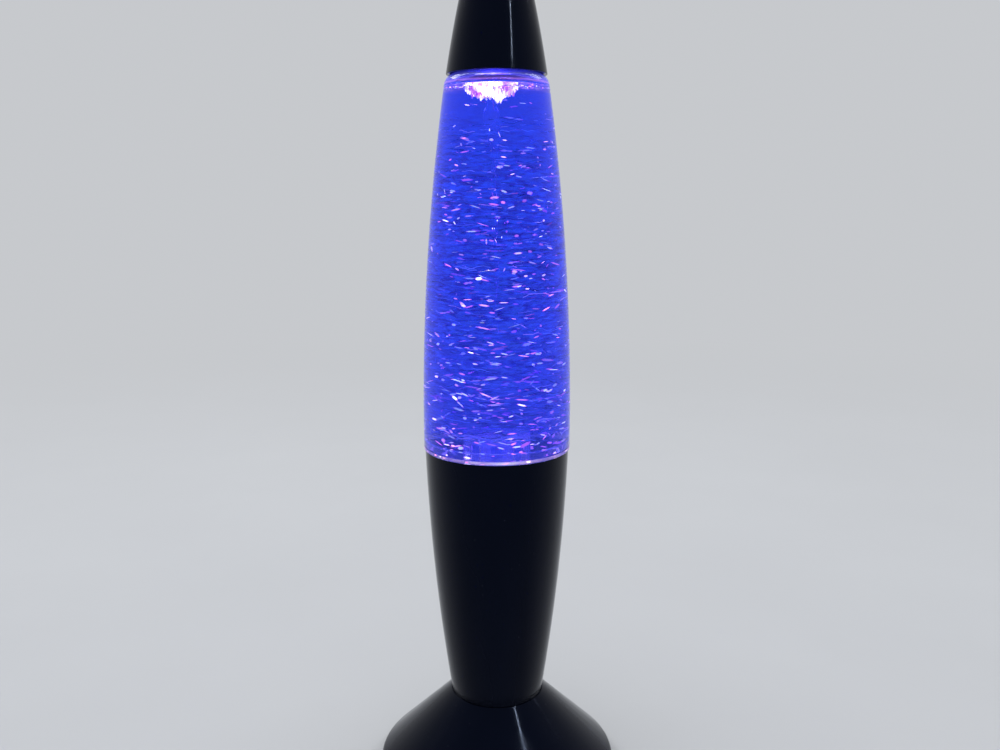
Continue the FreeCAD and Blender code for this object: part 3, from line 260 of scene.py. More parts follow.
def cellJacketFinish():
    # Plain cell sleeve: dark body, copper band at the nub's end, bare steel nub and foot
    look = {"pitch": 14.8, "bandStart": 13.5, "axisZ": 10.85, "sleeveRadius": 6.4}
    finish, shader = newFinish("cellJacket", {"Specular IOR Level": 0.5, "Coat Weight": 0.4})
    spot = objectSpot(shader)
    x, y, z = split(spot)
    row = calc("ROUND", calc("DIVIDE", y, look["pitch"] * mm))
    facing = minus(1.0, times(calc("ABSOLUTE", row), 2.0))
    band = calc("GREATER_THAN", times(x, facing), look["bandStart"] * mm)
    across = minus(y, times(row, look["pitch"] * mm))
    height = minus(z, look["axisZ"] * mm)
    bare = calc("LESS_THAN", reachOf(across, height), look["sleeveRadius"] * mm)
    scuff = grain(spot, 2.2, 5.0, 0.6)
    body = twoTone(scuff, (0.012, 0.03, 0.075), (0.02, 0.045, 0.105))
    copper = twoTone(scuff, (0.44, 0.2, 0.09), (0.62, 0.31, 0.14))
    sleeve = blended(band, body, copper)
    paint(shader, "Base Color", blended(bare, sleeve, (0.62, 0.61, 0.58)))
    paint(shader, "Metallic", calc("MAXIMUM", bare, times(band, 0.7)))
    roughen(shader, scuff, 0.24, 0.42)
    relief(shader, scuff, 0.006)
    return finish


def circuitBoardFinish():
    # Solder mask over etched tracks
    look = {"trackPitch": 2.4, "trackWidth": 0.13}
    finish, shader = newFinish("solderMask", {"Specular IOR Level": 0.5})
    spot = objectSpot(shader)
    bricks = put(shader.id_data, "ShaderNodeTexBrick", {
        "Vector": spot, "Scale": 1.0, "Mortar Size": look["trackWidth"] * mm,
        "Brick Width": look["trackPitch"] * 3 * mm, "Row Height": look["trackPitch"] * mm})
    track = bricks.outputs["Fac"]
    cloud = grain(spot, 4.0, 4.0)
    mask = twoTone(cloud, (0.008, 0.085, 0.035), (0.014, 0.13, 0.055))
    paint(shader, "Base Color", blended(track, mask, (0.03, 0.2, 0.08)))
    roughen(shader, cloud, 0.28, 0.4)
    relief(shader, track, 0.03)
    return finish


def armatureFinish():
    # Stacked laminations, with lacquered copper showing in the hollows
    look = {"sheet": 0.5, "gapShare": 0.16, "windingRadius": 5.4}
    finish, shader = newFinish("laminatedIron", {"Metallic": 1.0})
    spot = objectSpot(shader)
    x, y, z = split(spot)
    sheet = calc("FRACT", calc("DIVIDE", z, look["sheet"] * mm))
    gap = calc("LESS_THAN", sheet, look["gapShare"])
    inner = calc("LESS_THAN", reachOf(x, y), look["windingRadius"] * mm)
    tone = grain(spot, 0.9, 4.0)
    iron = twoTone(tone, (0.2, 0.19, 0.18), (0.34, 0.32, 0.3))
    copper = twoTone(tone, (0.45, 0.16, 0.06), (0.66, 0.27, 0.11))
    steel = blended(gap, iron, (0.03, 0.028, 0.026))
    paint(shader, "Base Color", blended(inner, steel, copper))
    roughen(shader, tone, 0.34, 0.5)
    relief(shader, minus(1.0, gap), 0.03)
    return finish


def lampLensFinish():
    # Light-emitting diodes: water-clear domes lit blue, with tinned leads below the board
    look = {"boardTop": 140.6, "glowFrom": 141.0, "glowTo": 146.6}
    finish, shader = newFinish("diodeLens", {"IOR": 1.5, "Emission Color": (0.10, 0.20, 1.0, 1.0),
                                             "Coat Weight": 0.5})
    spot = objectSpot(shader)
    z = split(spot)[2]
    lead = calc("LESS_THAN", z, look["boardTop"] * mm)
    haze = grain(spot, 1.4, 3.0)
    lens = twoTone(haze, (0.30, 0.40, 0.92), (0.48, 0.58, 1.0))
    paint(shader, "Base Color", blended(lead, lens, (0.72, 0.72, 0.7)))
    paint(shader, "Metallic", lead)
    roughen(shader, haze, 0.05, 0.16)
    glow = span(z, look["glowFrom"] * mm, look["glowTo"] * mm, 0.6, 3.2)
    paint(shader, "Emission Strength", times(glow, minus(1.0, lead)))
    return finish


def wireFinish(name, dark, light):
    # Extruded insulation with a faint die line and handling marks
    finish, shader = newFinish(name, {"Specular IOR Level": 0.45})
    spot = objectSpot(shader)
    rub = grain(spot, 1.8, 4.0, 0.6)
    paint(shader, "Base Color", twoTone(rub, dark, light))
    roughen(shader, rub, 0.32, 0.5)
    relief(shader, grain(spot, 0.5, 2.0), 0.006)
    return finish


# Finishes of what is clear or lit

seenThrough = {"Transmission Weight": 1.0, "Specular Tint": (0.2, 0.3, 1.0, 1.0),
               "Base Color": (1.0, 1.0, 1.0, 1.0)}


def bottleFinish():
    # Clear blown bottle, tinted by the light that runs through its wall; slightly wavy
    look = {"wave": 13.0, "waveDepth": 0.018, "smudge": 9.0, "glowLow": 333.0, "glowHigh": 339.5,
            "tintDensity": 400.0}
    finish, shader = newFinish("clearBottle", {**seenThrough, "IOR": 1.5, "Emission Strength": 1.0})
    spot = objectSpot(shader)
    streak = grain(spot, 5.0, 4.0, 0.6, stretch=(1.0, 1.0, 5.0))
    # Painted light at the shoulder: bright arcs of glow with darker bands between, standing in for glints and
    # light in the wall
    height = span(split(spot)[2], look["glowLow"] * mm, look["glowHigh"] * mm)
    height = plus(height, span(streak, 0.3, 0.7, -0.035, 0.035))
    paintedShoulderLight = shades(height, (0.0, (0.0, 0.0, 0.0)), (0.12, (0.004, 0.0, 0.02)), (0.2, (0.2, 0.085, 0.24)),
                   (0.29, (0.04, 0.018, 0.1)), (0.46, (0.02, 0.02, 0.1)), (0.58, (0.07, 0.07, 0.26)),
                   (0.7, (0.006, 0.008, 0.02)), (1.0, (0.002, 0.004, 0.02)))
    paint(shader, "Emission Color", paintedShoulderLight)
    smudge = grain(spot, look["smudge"], 4.0, 0.6)
    paint(shader, "Roughness", span(smudge, 0.5, 0.78, 0.0, 0.07))
    relief(shader, grain(spot, look["wave"], 2.0, 0.4), look["waveDepth"])
    wallTint(shader, (0.05, 0.0, 0.99), look["tintDensity"])
    return finish


def waterFinish():
    # Water full of blue light: it absorbs red and green, and glows from within
    look = {"ripple": 7.0, "rippleDepth": 0.05, "ringLow": 329.6, "ringHigh": 330.3, "ringTop": 333.1,
            "coreRadius": 6.5, "lowZ": 160.0, "streak": 6.0, "streakDrawn": 4.5, "streakSwirl": 0.9,
            "calmZ": 325.0, "busyZ": 288.0, "stirredZ": 245.0, "floorZ": 182.0, "tintDensity": 48.0}
    finish, shader = newFinish("litWater", {**seenThrough, "IOR": 1.33, "Roughness": 0.0})
    spot = objectSpot(shader)
    x, y, z = split(spot)
    # Painted reflection: a pale band just under the surface, as the surface seen from below would mirror; no
    # streaks in it
    ring = times(span(z, look["ringLow"] * mm, look["ringHigh"] * mm),
                 calc("LESS_THAN", z, look["ringTop"] * mm))
    paintedSurfaceReflection = shades(grain(spot, 6.0, 4.0, stretch=(1.0, 1.0, 2.5)), (0.35, (0.08, 0.055, 0.17)),
                   (0.55, (0.15, 0.11, 0.22)), (0.72, (0.5, 0.34, 0.4)))
    body = shades(span(z, look["lowZ"] * mm, look["ringLow"] * mm), (0.0, (0.034, 0.05, 0.15)),
                  (0.06, (0.034, 0.05, 0.15)), (0.09, (0.03, 0.052, 0.205)), (0.14, (0.028, 0.056, 0.24)),
                  (0.22, (0.024, 0.058, 0.258)), (0.4, (0.016, 0.056, 0.256)), (0.52, (0.012, 0.05, 0.24)),
                  (1.0, (0.0, 0.042, 0.235)))
    core = calc("LESS_THAN", reachOf(x, y), look["coreRadius"] * mm)
    body = blended(core, body, (0.001, 0.005, 0.045))
    paint(shader, "Emission Color", blended(ring, body, paintedSurfaceReflection))

    # Wavy streaks of painted lighter and darker glow where the water whirls, fainter towards the top and the
    # floor
    streak = grain(spot, look["streak"], 4.0, 0.6, stretch=(1.0, 1.0, look["streakDrawn"]),
                   swirl=look["streakSwirl"])
    contrast = times(span(z, look["calmZ"] * mm, look["busyZ"] * mm, 0.2, 1.0),
                     span(z, look["floorZ"] * mm, look["stirredZ"] * mm, 0.45, 1.0))
    swing = times(span(streak, 0.37, 0.63, -0.95, 0.85), contrast)
    paint(shader, "Emission Strength", plus(times(swing, minus(1.0, ring)), 1.0))
    relief(shader, grain(spot, look["ripple"], 3.0, 0.5, stretch=(1.0, 1.0, 2.4)), look["rippleDepth"])
    wallTint(shader, (0.1, 0.12, 0.79), look["tintDensity"])
    return finish


def litBaseFinish():
    # The clear base that carries the light up: bright at the flange's edge, violet further round. The edge's
    # glow is partly the light it carries and partly painted light: its pale colour and its three brightest
    # places round, one facing the front
    look = {"flangeLow": 167.0, "flangeHigh": 168.0, "edgeRadius": 34.2, "edgeFade": 1.2, "flangeFade": 0.3,
            "brightParts": 3.0, "partContrast": 0.15}
    finish, shader = newFinish("litBase", {"IOR": 1.45, "Transmission Weight": 0.96,
                                           "Specular Tint": (0.3, 0.4, 1.0, 1.0)})
    spot = objectSpot(shader)
    x, y, z = split(spot)
    outer = span(reachOf(x, y), (look["edgeRadius"] - look["edgeFade"]) * mm, look["edgeRadius"] * mm)
    low = span(z, (look["flangeLow"] - look["flangeFade"]) * mm, look["flangeLow"] * mm)
    high = span(z, (look["flangeHigh"] + look["flangeFade"]) * mm, look["flangeHigh"] * mm)
    edge = times(outer, times(low, high))
    # Painted light: the edge glows brightest in three places round, one of them facing the front
    turn = plus(calc("ARCTAN2", y, x), math.pi / 2)
    paintedBrightPlaces = calc("COSINE", times(turn, look["brightParts"]))
    patch = grain(spot, 10.0, 4.0, 0.6)
    cloud = grain(spot, 30.0, 3.0)
    paintedBrightness = plus(patch, times(paintedBrightPlaces, look["partContrast"]))
    paintedEdgeLight = shades(paintedBrightness, (0.36, (0.2, 0.06, 0.34)), (0.54, (0.62, 0.36, 0.46)),
                      (0.7, (1.0, 0.84, 0.66)))
    glow = twoTone(cloud, (0.04, 0.05, 0.45), (0.07, 0.08, 0.58))
    clear = twoTone(cloud, (0.75, 0.76, 0.86), (0.86, 0.86, 0.92))
    paint(shader, "Base Color", blended(edge, clear, (1.0, 0.85, 0.52)))
    paint(shader, "Emission Color", blended(edge, glow, paintedEdgeLight))
    paint(shader, "Emission Strength", between(edge, 0.12, 0.42))
    roughen(shader, patch, 0.02, 0.1)
    return finish


def frostedFinish(name, base, glow, power, rough, clear):
    # Clear moulding with a soft surface, lit from the diodes
    finish, shader = newFinish(name, {"IOR": 1.49, "Transmission Weight": clear, **lit(glow, power)})
    spot = objectSpot(shader)
    haze = grain(spot, 6.0, 4.0)
    paint(shader, "Base Color", twoTone(haze, tuple(0.9 * part for part in base), base))
    roughen(shader, haze, *rough)
    relief(shader, grain(spot, 1.2, 2.0), 0.01)
    return finish


def cageFinish():
    # Thin clear cage in the water: only its edges and a little haze show; its faint violet glow is painted
    # light
    finish, shader = newFinish("clearCage", {"IOR": 1.36, "Transmission Weight": 0.97,
                                             **lit((0.26, 0.22, 0.5), 0.22)})
    haze = grain(objectSpot(shader), 5.0, 4.0)
    paint(shader, "Base Color", twoTone(haze, (0.86, 0.88, 1.0), (0.95, 0.96, 1.0)))
    roughen(shader, haze, 0.02, 0.1)
    return finish


def glitterFinish():
    # Metallised film: each flake has its own tint and painted glint, glowing white in the middle and pink at
    # its ends
    finish, shader = newFinish("glitterFilm", {"Metallic": 0.6, "Roughness": 0.25})
    tint = stored(shader, "tint")
    along = calc("ABSOLUTE", stored(shader, "along"))
    core = shades(tint, (0.0, (0.85, 0.2, 0.7)), (0.28, (1.0, 0.3, 0.6)), (0.5, (1.0, 0.62, 0.8)),
                  (0.66, (1.0, 0.9, 0.85)), (0.85, (0.8, 1.0, 0.85)), (0.96, (0.85, 1.0, 0.5)))
    tip = shades(tint, (0.0, (0.35, 0.06, 0.8)), (0.3, (1.0, 0.07, 0.38)), (0.7, (0.75, 0.08, 0.55)),
                 (1.0, (1.0, 0.14, 0.4)))
    paintedGlow(shader, blended(span(along, 0.45, 0.95), core, tip), stored(shader, "paintedGlint"))
    return finish


def trailFinish():
    # Thin pale and dark lines in the water, like those flakes passing too fast to see would leave; the pale
    # lines are painted glints and the dark ones painted shade
    finish, shader = newFinish("flowTrail", {"Roughness": 0.5})
    tint = stored(shader, "tint")
    colour = shades(tint, (0.0, (0.004, 0.01, 0.2)), (0.5, (0.008, 0.02, 0.3)), (0.64, (0.04, 0.08, 0.5)),
                    (0.9, (0.1, 0.16, 0.6)), (1.0, (0.4, 0.26, 0.6)))
    paintedGlow(shader, colour, between(tint, 0.4, 1.2))
    return finish


def frothFinish():
    # Bubbles and packed flakes whipped in by the vortex, glowing almost white with painted light
    finish, shader = newFinish("vortexFroth", {"Roughness": 0.3})
    colour = shades(stored(shader, "tint"), (0.0, (0.85, 0.12, 0.75)), (0.22, (0.8, 0.35, 0.9)),
                    (0.4, (0.5, 0.5, 0.75)), (0.55, (1.0, 0.85, 0.95)), (0.85, (1.0, 0.98, 0.95)))
    paintedGlow(shader, colour, stored(shader, "paintedGlint"))
    return finish


finishes = {
    "gloss_black": glossBlackFinish(),
    "black_plastic": mouldedFinish("texturedBlack", (0.011, 0.011, 0.013), (0.02, 0.02, 0.023), 0.5, 0.03,
                                   (0.42, 0.62)),
    "black_rubber": rubberFinish("blackRubber", (0.012, 0.012, 0.013), (0.03, 0.03, 0.031)),
    "steel": metalFinish("platedSteel", (0.5, 0.5, 0.51), (0.66, 0.66, 0.67), (0.2, 0.38)),
    "cell_jacket": cellJacketFinish(),
    "plated_spring": metalFinish("nickelSpring", (0.6, 0.59, 0.56), (0.76, 0.75, 0.72), (0.16, 0.3),
                                 (1.0, 0.1, 1.0)),
    "circuit_board": circuitBoardFinish(),
    "chip_black": mouldedFinish("mouldedEpoxy", (0.009, 0.009, 0.01), (0.022, 0.022, 0.023), 0.25, 0.015,
                                (0.5, 0.7)),
    "brass_tab": metalFinish("stampedBrass", (0.6, 0.42, 0.18), (0.8, 0.62, 0.32), (0.2, 0.36)),
    "white_plastic": mouldedFinish("satinWhite", (0.7, 0.71, 0.73), (0.8, 0.81, 0.83), 0.6, 0.02,
                                   (0.3, 0.46)),
    "ferrite": mouldedFinish("groundFerrite", (0.05, 0.05, 0.054), (0.1, 0.1, 0.106), 0.3, 0.02,
                             (0.45, 0.65), {"Metallic": 0.3}),
    "armature_iron": armatureFinish(),
    "plated_magnet": metalFinish("nickelMagnet", (0.68, 0.68, 0.67), (0.84, 0.84, 0.83), (0.06, 0.16)),
    "led_lens": lampLensFinish(),
    "clear_plastic": frostedFinish("clearMoulding", (0.86, 0.9, 1.0), (0.03, 0.07, 0.9), 0.18, (0.04, 0.16),
                                   0.9),
    "blue_water": waterFinish(),
    "glitter": glitterFinish(),
    "gasket_rubber": rubberFinish("greyGasket", (0.4, 0.4, 0.41), (0.56, 0.56, 0.57)),
    "wire_red": wireFinish("redInsulation", (0.36, 0.012, 0.012), (0.52, 0.022, 0.02)),
    "wire_black": wireFinish("blackInsulation", (0.01, 0.01, 0.011), (0.026, 0.026, 0.028)),
}

for node in nodes.values():
    for held in node.material_slots:
        held.material = finishes[held.material.name]
nodes["light_window"].material_slots[0].material = frostedFinish(
    "frostedWindow", (0.8, 0.85, 1.0), (0.05, 0.12, 1.0), 0.9, (0.35, 0.6), 0.5)
nodes["impeller_cage"].material_slots[0].material = cageFinish()
nodes["impeller"].material_slots[0].material = mouldedFinish(
    "litWhite", (0.7, 0.71, 0.73), (0.8, 0.81, 0.83), 0.6, 0.02, (0.3, 0.46), lit((0.02, 0.05, 0.6), 0.6))
print("finishes made:", len(finishes))


# Helpers for pieces

def linked(name, data):
    made = bpy.data.objects.new(name, data)
    scene.collection.objects.link(made)
    return made


def carried(piece, body, slot, *stoodFor):
    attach(piece, body)
    if stoodFor:
        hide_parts(*stoodFor)
    return piece


def smoothed(bm, degrees):
    for face in bm.faces:
        face.smooth = True
    for edge in bm.edges:
        edge.smooth = len(edge.link_faces) == 2 and edge.calc_face_angle(0.0) < math.radians(degrees)


def finishedMesh(name, bm, finish):
    mesh = bpy.data.meshes.new(name)
    bm.to_mesh(mesh)
    bm.free()
    mesh.materials.append(finish)
    return mesh


def eased(outline, steps=4):
    # Rounds each corner that carries a third number, its easing, in a closed outline of radius and height
    points = []
    for index, corner in enumerate(outline):
        if len(corner) == 2:
            points.append(corner)
            continue
        before, after = outline[index - 1][:2], outline[(index + 1) % len(outline)][:2]
        here = Vector(corner[:2])
        start = here + (Vector(before) - here).normalized() * corner[2]
        end = here + (Vector(after) - here).normalized() * corner[2]
        for step in range(steps + 1):
            t = step / steps
            points.append(tuple(start * (1 - t) ** 2 + here * 2 * t * (1 - t) + end * t ** 2))
    return points


def turnedMesh(name, outline, finish, steps=192, sharp=32.0):
    # A closed outline of radius and height, turned about the lamp's axis
    bm = bmesh.new()
    rings = []
    for radius, height in outline:
        if radius < 1e-6:
            rings.append([bm.verts.new((0.0, 0.0, height * mm))])
            continue
        turns = (wholeTurn * step / steps for step in range(steps))
        rings.append([bm.verts.new((radius * mm * math.cos(turn), radius * mm * math.sin(turn), height * mm))
                      for turn in turns])
    for first, second in zip(rings, rings[1:] + rings[:1]):
        if len(first) == 1 and len(second) == 1:
            continue
        for step in range(steps):
            after = (step + 1) % steps
            corners = [first[step % len(first)], first[after % len(first)],
                       second[after % len(second)], second[step % len(second)]]
            bm.faces.new(list(dict.fromkeys(corners)))
    bmesh.ops.remove_doubles(bm, verts=bm.verts, dist=1e-7)
    bmesh.ops.recalc_face_normals(bm, faces=bm.faces)
    smoothed(bm, sharp)
    return finishedMesh(name, bm, finish)


def softenedNode(name, body, slot, node, width, slack=0.0, degrees=32.0):
    # A merged copy of a construction piece, its edges eased like a moulding's; slack draws its faces in
    bm = bmesh.new()
    bm.from_mesh(nodes[node].data)
    bmesh.ops.remove_doubles(bm, verts=bm.verts, dist=2e-6)
    bmesh.ops.dissolve_limit(bm, angle_limit=math.radians(0.5), verts=bm.verts, edges=bm.edges)
    for vert in bm.verts:
        vert.co -= vert.normal * slack * mm
    smoothed(bm, degrees)
    piece = linked(name, finishedMesh(name, bm, finishes[slot]))
    easing = piece.modifiers.new("easing", "BEVEL")
    easing.width = width * mm
    easing.segments = 2
    easing.limit_method = "ANGLE"
    easing.angle_limit = math.radians(degrees)
    easing.harden_normals = True
    plainMesh(piece)
    return carried(piece, body, slot, node)


def plainMesh(piece):
    # What the modifiers make becomes the piece's own mesh
    made = bpy.data.meshes.new_from_object(piece.evaluated_get(bpy.context.evaluated_depsgraph_get()))
    piece.modifiers.clear()
    piece.data = made
    made.name = piece.name


# Helpers for geometry trees

def startTree(name, sizes):
    tree = bpy.data.node_groups.new(name, "GeometryNodeTree")
    tree.interface.new_socket("Geometry", in_out="INPUT", socket_type="NodeSocketGeometry")
    tree.interface.new_socket("Geometry", in_out="OUTPUT", socket_type="NodeSocketGeometry")
    for label, value in sizes.items():
        kind = "NodeSocketInt" if isinstance(value, int) else "NodeSocketFloat"
        tree.interface.new_socket(label, in_out="INPUT", socket_type=kind).default_value = value
    return tree, put(tree, "NodeGroupInput").outputs


def endTree(tree, geometry, finish):
    whole = put(tree, "GeometryNodeRealizeInstances", {0: geometry}).outputs[0]
    dressed = put(tree, "GeometryNodeSetMaterial", {"Geometry": whole, "Material": finish}).outputs[0]
    put(tree, "NodeGroupOutput", {"Geometry": dressed})


def grownPiece(name, tree, sizes, body, slot, *stoodFor, host=None):
    piece = linked(name, host or bpy.data.meshes.new(name + "Host"))
    growth = piece.modifiers.new("growth", "NODES")
    growth.node_group = tree
    for item in tree.interface.items_tree:
        if item.in_out == "INPUT" and item.name in sizes:
            growth[item.identifier] = sizes[item.name]
    plainMesh(piece)
    return carried(piece, body, slot, *stoodFor)


def chance(seed, step, low=0.0, high=1.0):
    # A random number for each point; each step of the seed is a draw of its own
    sockets = {2: low, 3: high, "Seed": plus(seed, step) if step else seed}
    return put(seed.id_data, "FunctionNodeRandomValue", sockets, data_type="FLOAT").outputs[1]


def eitherWay(seed, step, most):
    return chance(seed, step, times(most, -1.0), most)


def remember(geometry, label, value, domain="INSTANCE"):
    sockets = {"Geometry": geometry, "Name": label, "Value": value}
    return put(geometry.id_data, "GeometryNodeStoreNamedAttribute", sockets, data_type="FLOAT",
               domain=domain).outputs[0]


def moved(geometry, **sockets):
    return put(geometry.id_data, "GeometryNodeSetPosition", {"Geometry": geometry, **sockets}).outputs[0]


def polar(radius, turn):
    return times(radius, calc("COSINE", turn)), times(radius, calc("SINE", turn))


def roundBar(curve, corners, radius):
    # A closed bar along a curve
    circle = put(curve.id_data, "GeometryNodeCurvePrimitiveCircle", {"Resolution": corners, "Radius": radius})
    sockets = {"Curve": curve, "Profile Curve": circle.outputs[0], "Fill Caps": True}
    return put(curve.id_data, "GeometryNodeCurveToMesh", sockets).outputs[0]


# Black mouldings: the foot, the cone, the cap and what shows underneath. Each has its body, slot and
# construction piece, how wide its edges are eased and how far its faces are drawn in.

mouldings = {
    "footShell": ("base", "gloss_black", "foot_shell", 0.35),
    "housingCone": ("base", "gloss_black", "housing_cone", 0.3),
    "topCap": ("cap", "gloss_black", "top_cap", 0.3),
    "bottomCover": ("base", "black_plastic", "bottom_cover", 0.3),
    "batteryDoor": ("door", "black_plastic", "battery_door", 0.25, 0.08),
    "switchHousing": ("base", "black_plastic", "switch_housing", 0.2),
    "switchRocker": ("rocker", "gloss_black", "switch_rocker", 0.25),
    "rubberFeet": ("base", "black_rubber", "rubber_feet", 0.35),
}

for name, moulding in mouldings.items():
    softenedNode(name, *moulding)
print("black mouldings eased")


# Bottle: straight foot, long curved side, small round shoulder and a threaded neck

bottleShape = {"footZ": 168.3, "taperZ": 179.1, "shoulderZ": 334.0, "radius": 35.0, "topRadius": 23.8,
               "wall": 1.8, "shoulderCentre": (17.8624, 333.1369), "shoulderRound": 6.0,
               "shoulderLean": 0.144358, "neckRadius": 12.5, "neckFillet": 3.0, "ringRadius": 16.5,
               "ringZ": 344.1369, "ringTopZ": 346.1369, "neckTopZ": 357.5369, "easing": 0.35,
               "sideSteps": 40, "shoulderSteps": 12, "filletSteps": 8}


def sideArc():
    # The radius of the long arc that the side makes above its straight part
    rise = bottleShape["shoulderZ"] - bottleShape["taperZ"]
    drop = bottleShape["radius"] - bottleShape["topRadius"]
    return (rise ** 2 + drop ** 2) / (2 * drop)


def sideRadius(height, inset=0.0):
    arc = sideArc()
    above = max(height - bottleShape["taperZ"], 0.0)
    return bottleShape["radius"] - arc + math.sqrt((arc - inset) ** 2 - above ** 2)


def bottleSide(inset):
    # The side, shoulder and neck fillet from foot to neck, at one depth in the wall
    shape = bottleShape
    centreR, centreZ = shape["shoulderCentre"]
    reach = shape["shoulderRound"] - inset
    lean = shape["shoulderLean"]
    length = centreZ + reach * math.sin(lean) - shape["taperZ"]
    points = []
    for step in range(shape["sideSteps"] + 1):
        z = shape["taperZ"] + length * step / shape["sideSteps"]
        points.append((sideRadius(z, inset), z))
    for step in range(1, shape["shoulderSteps"] + 1):
        turn = lean + (math.pi / 2 - lean) * step / shape["shoulderSteps"]
        points.append((centreR + reach * math.cos(turn), centreZ + reach * math.sin(turn)))
    filletR = shape["neckRadius"] + shape["neckFillet"]
    filletZ = centreZ + shape["shoulderRound"] + shape["neckFillet"]
    bend = shape["neckFillet"] + inset
    for step in range(shape["filletSteps"] + 1):
        turn = math.pi / 2 * step / shape["filletSteps"]
        points.append((filletR - bend * math.sin(turn), filletZ - bend * math.cos(turn)))
    return points


def makeBottle():
    shape = bottleShape
    ease = shape["easing"]
    neckR, innerR = shape["neckRadius"], shape["neckRadius"] - shape["wall"]
    outer = [(shape["radius"], shape["footZ"], ease)] + bottleSide(0.0)
    neck = [(neckR, shape["ringZ"]), (shape["ringRadius"], shape["ringZ"], ease),
            (shape["ringRadius"], shape["ringTopZ"], ease), (neckR, shape["ringTopZ"]),
            (neckR, shape["neckTopZ"], ease), (innerR, shape["neckTopZ"], ease)]
    inner = list(reversed(bottleSide(shape["wall"])))
    inner.append((shape["radius"] - shape["wall"], shape["footZ"], ease))
    mesh = turnedMesh("bottleGlass", eased(outer + neck + inner), bottleFinish())
    return carried(linked("bottleGlass", mesh), "bottle", "clear_plastic", "bottle")


def neckThread():
    # The thread for the lid: a low bead wound twice round the neck
    sizes = {"Turns": 2.0, "Pitch": 3.0 * mm, "Radius": 12.5 * mm, "Bead": 0.28 * mm, "Start": 348.6 * mm}
    tree, given = startTree("neckThread", sizes)
    sockets = {"Resolution": 64, "Rotations": given["Turns"], "Start Radius": given["Radius"],
               "End Radius": given["Radius"], "Height": times(given["Turns"], given["Pitch"])}
    helix = put(tree, "GeometryNodeCurveSpiral", sockets).outputs[0]
    helix = moved(helix, Offset=vector(0.0, 0.0, given["Start"]))
    endTree(tree, roundBar(helix, 8, given["Bead"]), finishes["clear_plastic"])
    return grownPiece("neckThread", tree, sizes, "bottle", "clear_plastic")


makeBottle()
neckThread()
softenedNode("bottleLid", "lid", "white_plastic", "bottle_lid", 0.25)
print("bottle made")


# The clear base: flange on the rim, collar in the bottle, plug down in the cone

def makeLitBase():
    shape = {"rimZ": 166.5, "footZ": 168.3, "collarZ": 171.3, "plugZ": 154.5, "floorZ": 159.0,
             "underZ": 157.0, "flangeR": 35.0, "collarR": 33.15, "plugR": 31.514, "innerR": 29.814,
             "bossR": 3.4, "bossZ": 160.1, "pinR": 1.0, "pinZ": 157.6, "easing": 0.4, "bossEasing": 0.2}
    ease = shape["easing"]
    outline = [(0.0, shape["underZ"]), (shape["innerR"], shape["underZ"], ease),
               (shape["innerR"], shape["plugZ"], ease), (shape["plugR"], shape["plugZ"], ease),
               (shape["plugR"], shape["rimZ"]), (shape["flangeR"], shape["rimZ"], ease),
               (shape["flangeR"], shape["footZ"], ease), (shape["collarR"], shape["footZ"]),
               (shape["collarR"], shape["collarZ"], ease), (shape["innerR"], shape["collarZ"], ease),
               (shape["innerR"], shape["floorZ"], ease), (shape["bossR"], shape["floorZ"]),
               (shape["bossR"], shape["bossZ"], shape["bossEasing"]), (shape["pinR"], shape["bossZ"]),
               (shape["pinR"], shape["pinZ"]), (0.0, shape["pinZ"])]
    mesh = turnedMesh("litBase", eased(outline), litBaseFinish())
    return carried(linked("litBase", mesh), "bottle", "clear_plastic", "bottle_base")


makeLitBase()
print("clear base made")


# Water: its free surface and the vortex's hollow follow one rule, and a spiral ripple runs down it

waterShape = {"surfaceZ": 333.0, "tipZ": 222.0, "pull": 30.0, "hollowStart": 14.0, "meniscus": 0.5,
              "meniscusReach": 0.7, "overlap": 0.05, "floorZ": 159.0, "plugR": 29.814, "collarZ": 171.3,
              "belly": 1.6, "bellyDepth": 15.0, "bellySpan": 14.0, "bellyFade": 3.0, "coreTop": 1.8,
              "tipNarrowing": 0.35, "sideSteps": 48, "coreSteps": 60,
              "rimAways": (0.15, 0.4, 0.8, 1.4, 2.2, 3.4),
              "dipRadii": (18.0, 16.0, 14.0, 12.5, 11.0, 10.0, 9.0, 8.0, 7.0, 6.2, 5.5, 4.9, 4.3, 3.8, 3.3,
                           2.9, 2.5, 2.2, 1.95)}

vortexAside = -1.8  # how far the vortex leans from the axis at its mouth


def surfaceDip(radius):
    return waterShape["pull"] / radius ** 2


def hollowRadius(depth):
    # The deeper, the narrower: the pull sets how wide the vortex is at each depth, and it bellies out
    # under the froth
    shape = waterShape
    belly = shape["belly"] * math.exp(-((depth - shape["bellyDepth"]) / shape["bellySpan"]) ** 2)
    fade = min(1.0, (depth - surfaceDip(shape["coreTop"])) / shape["bellyFade"])
    return math.sqrt(shape["pull"] / depth) + belly * fade


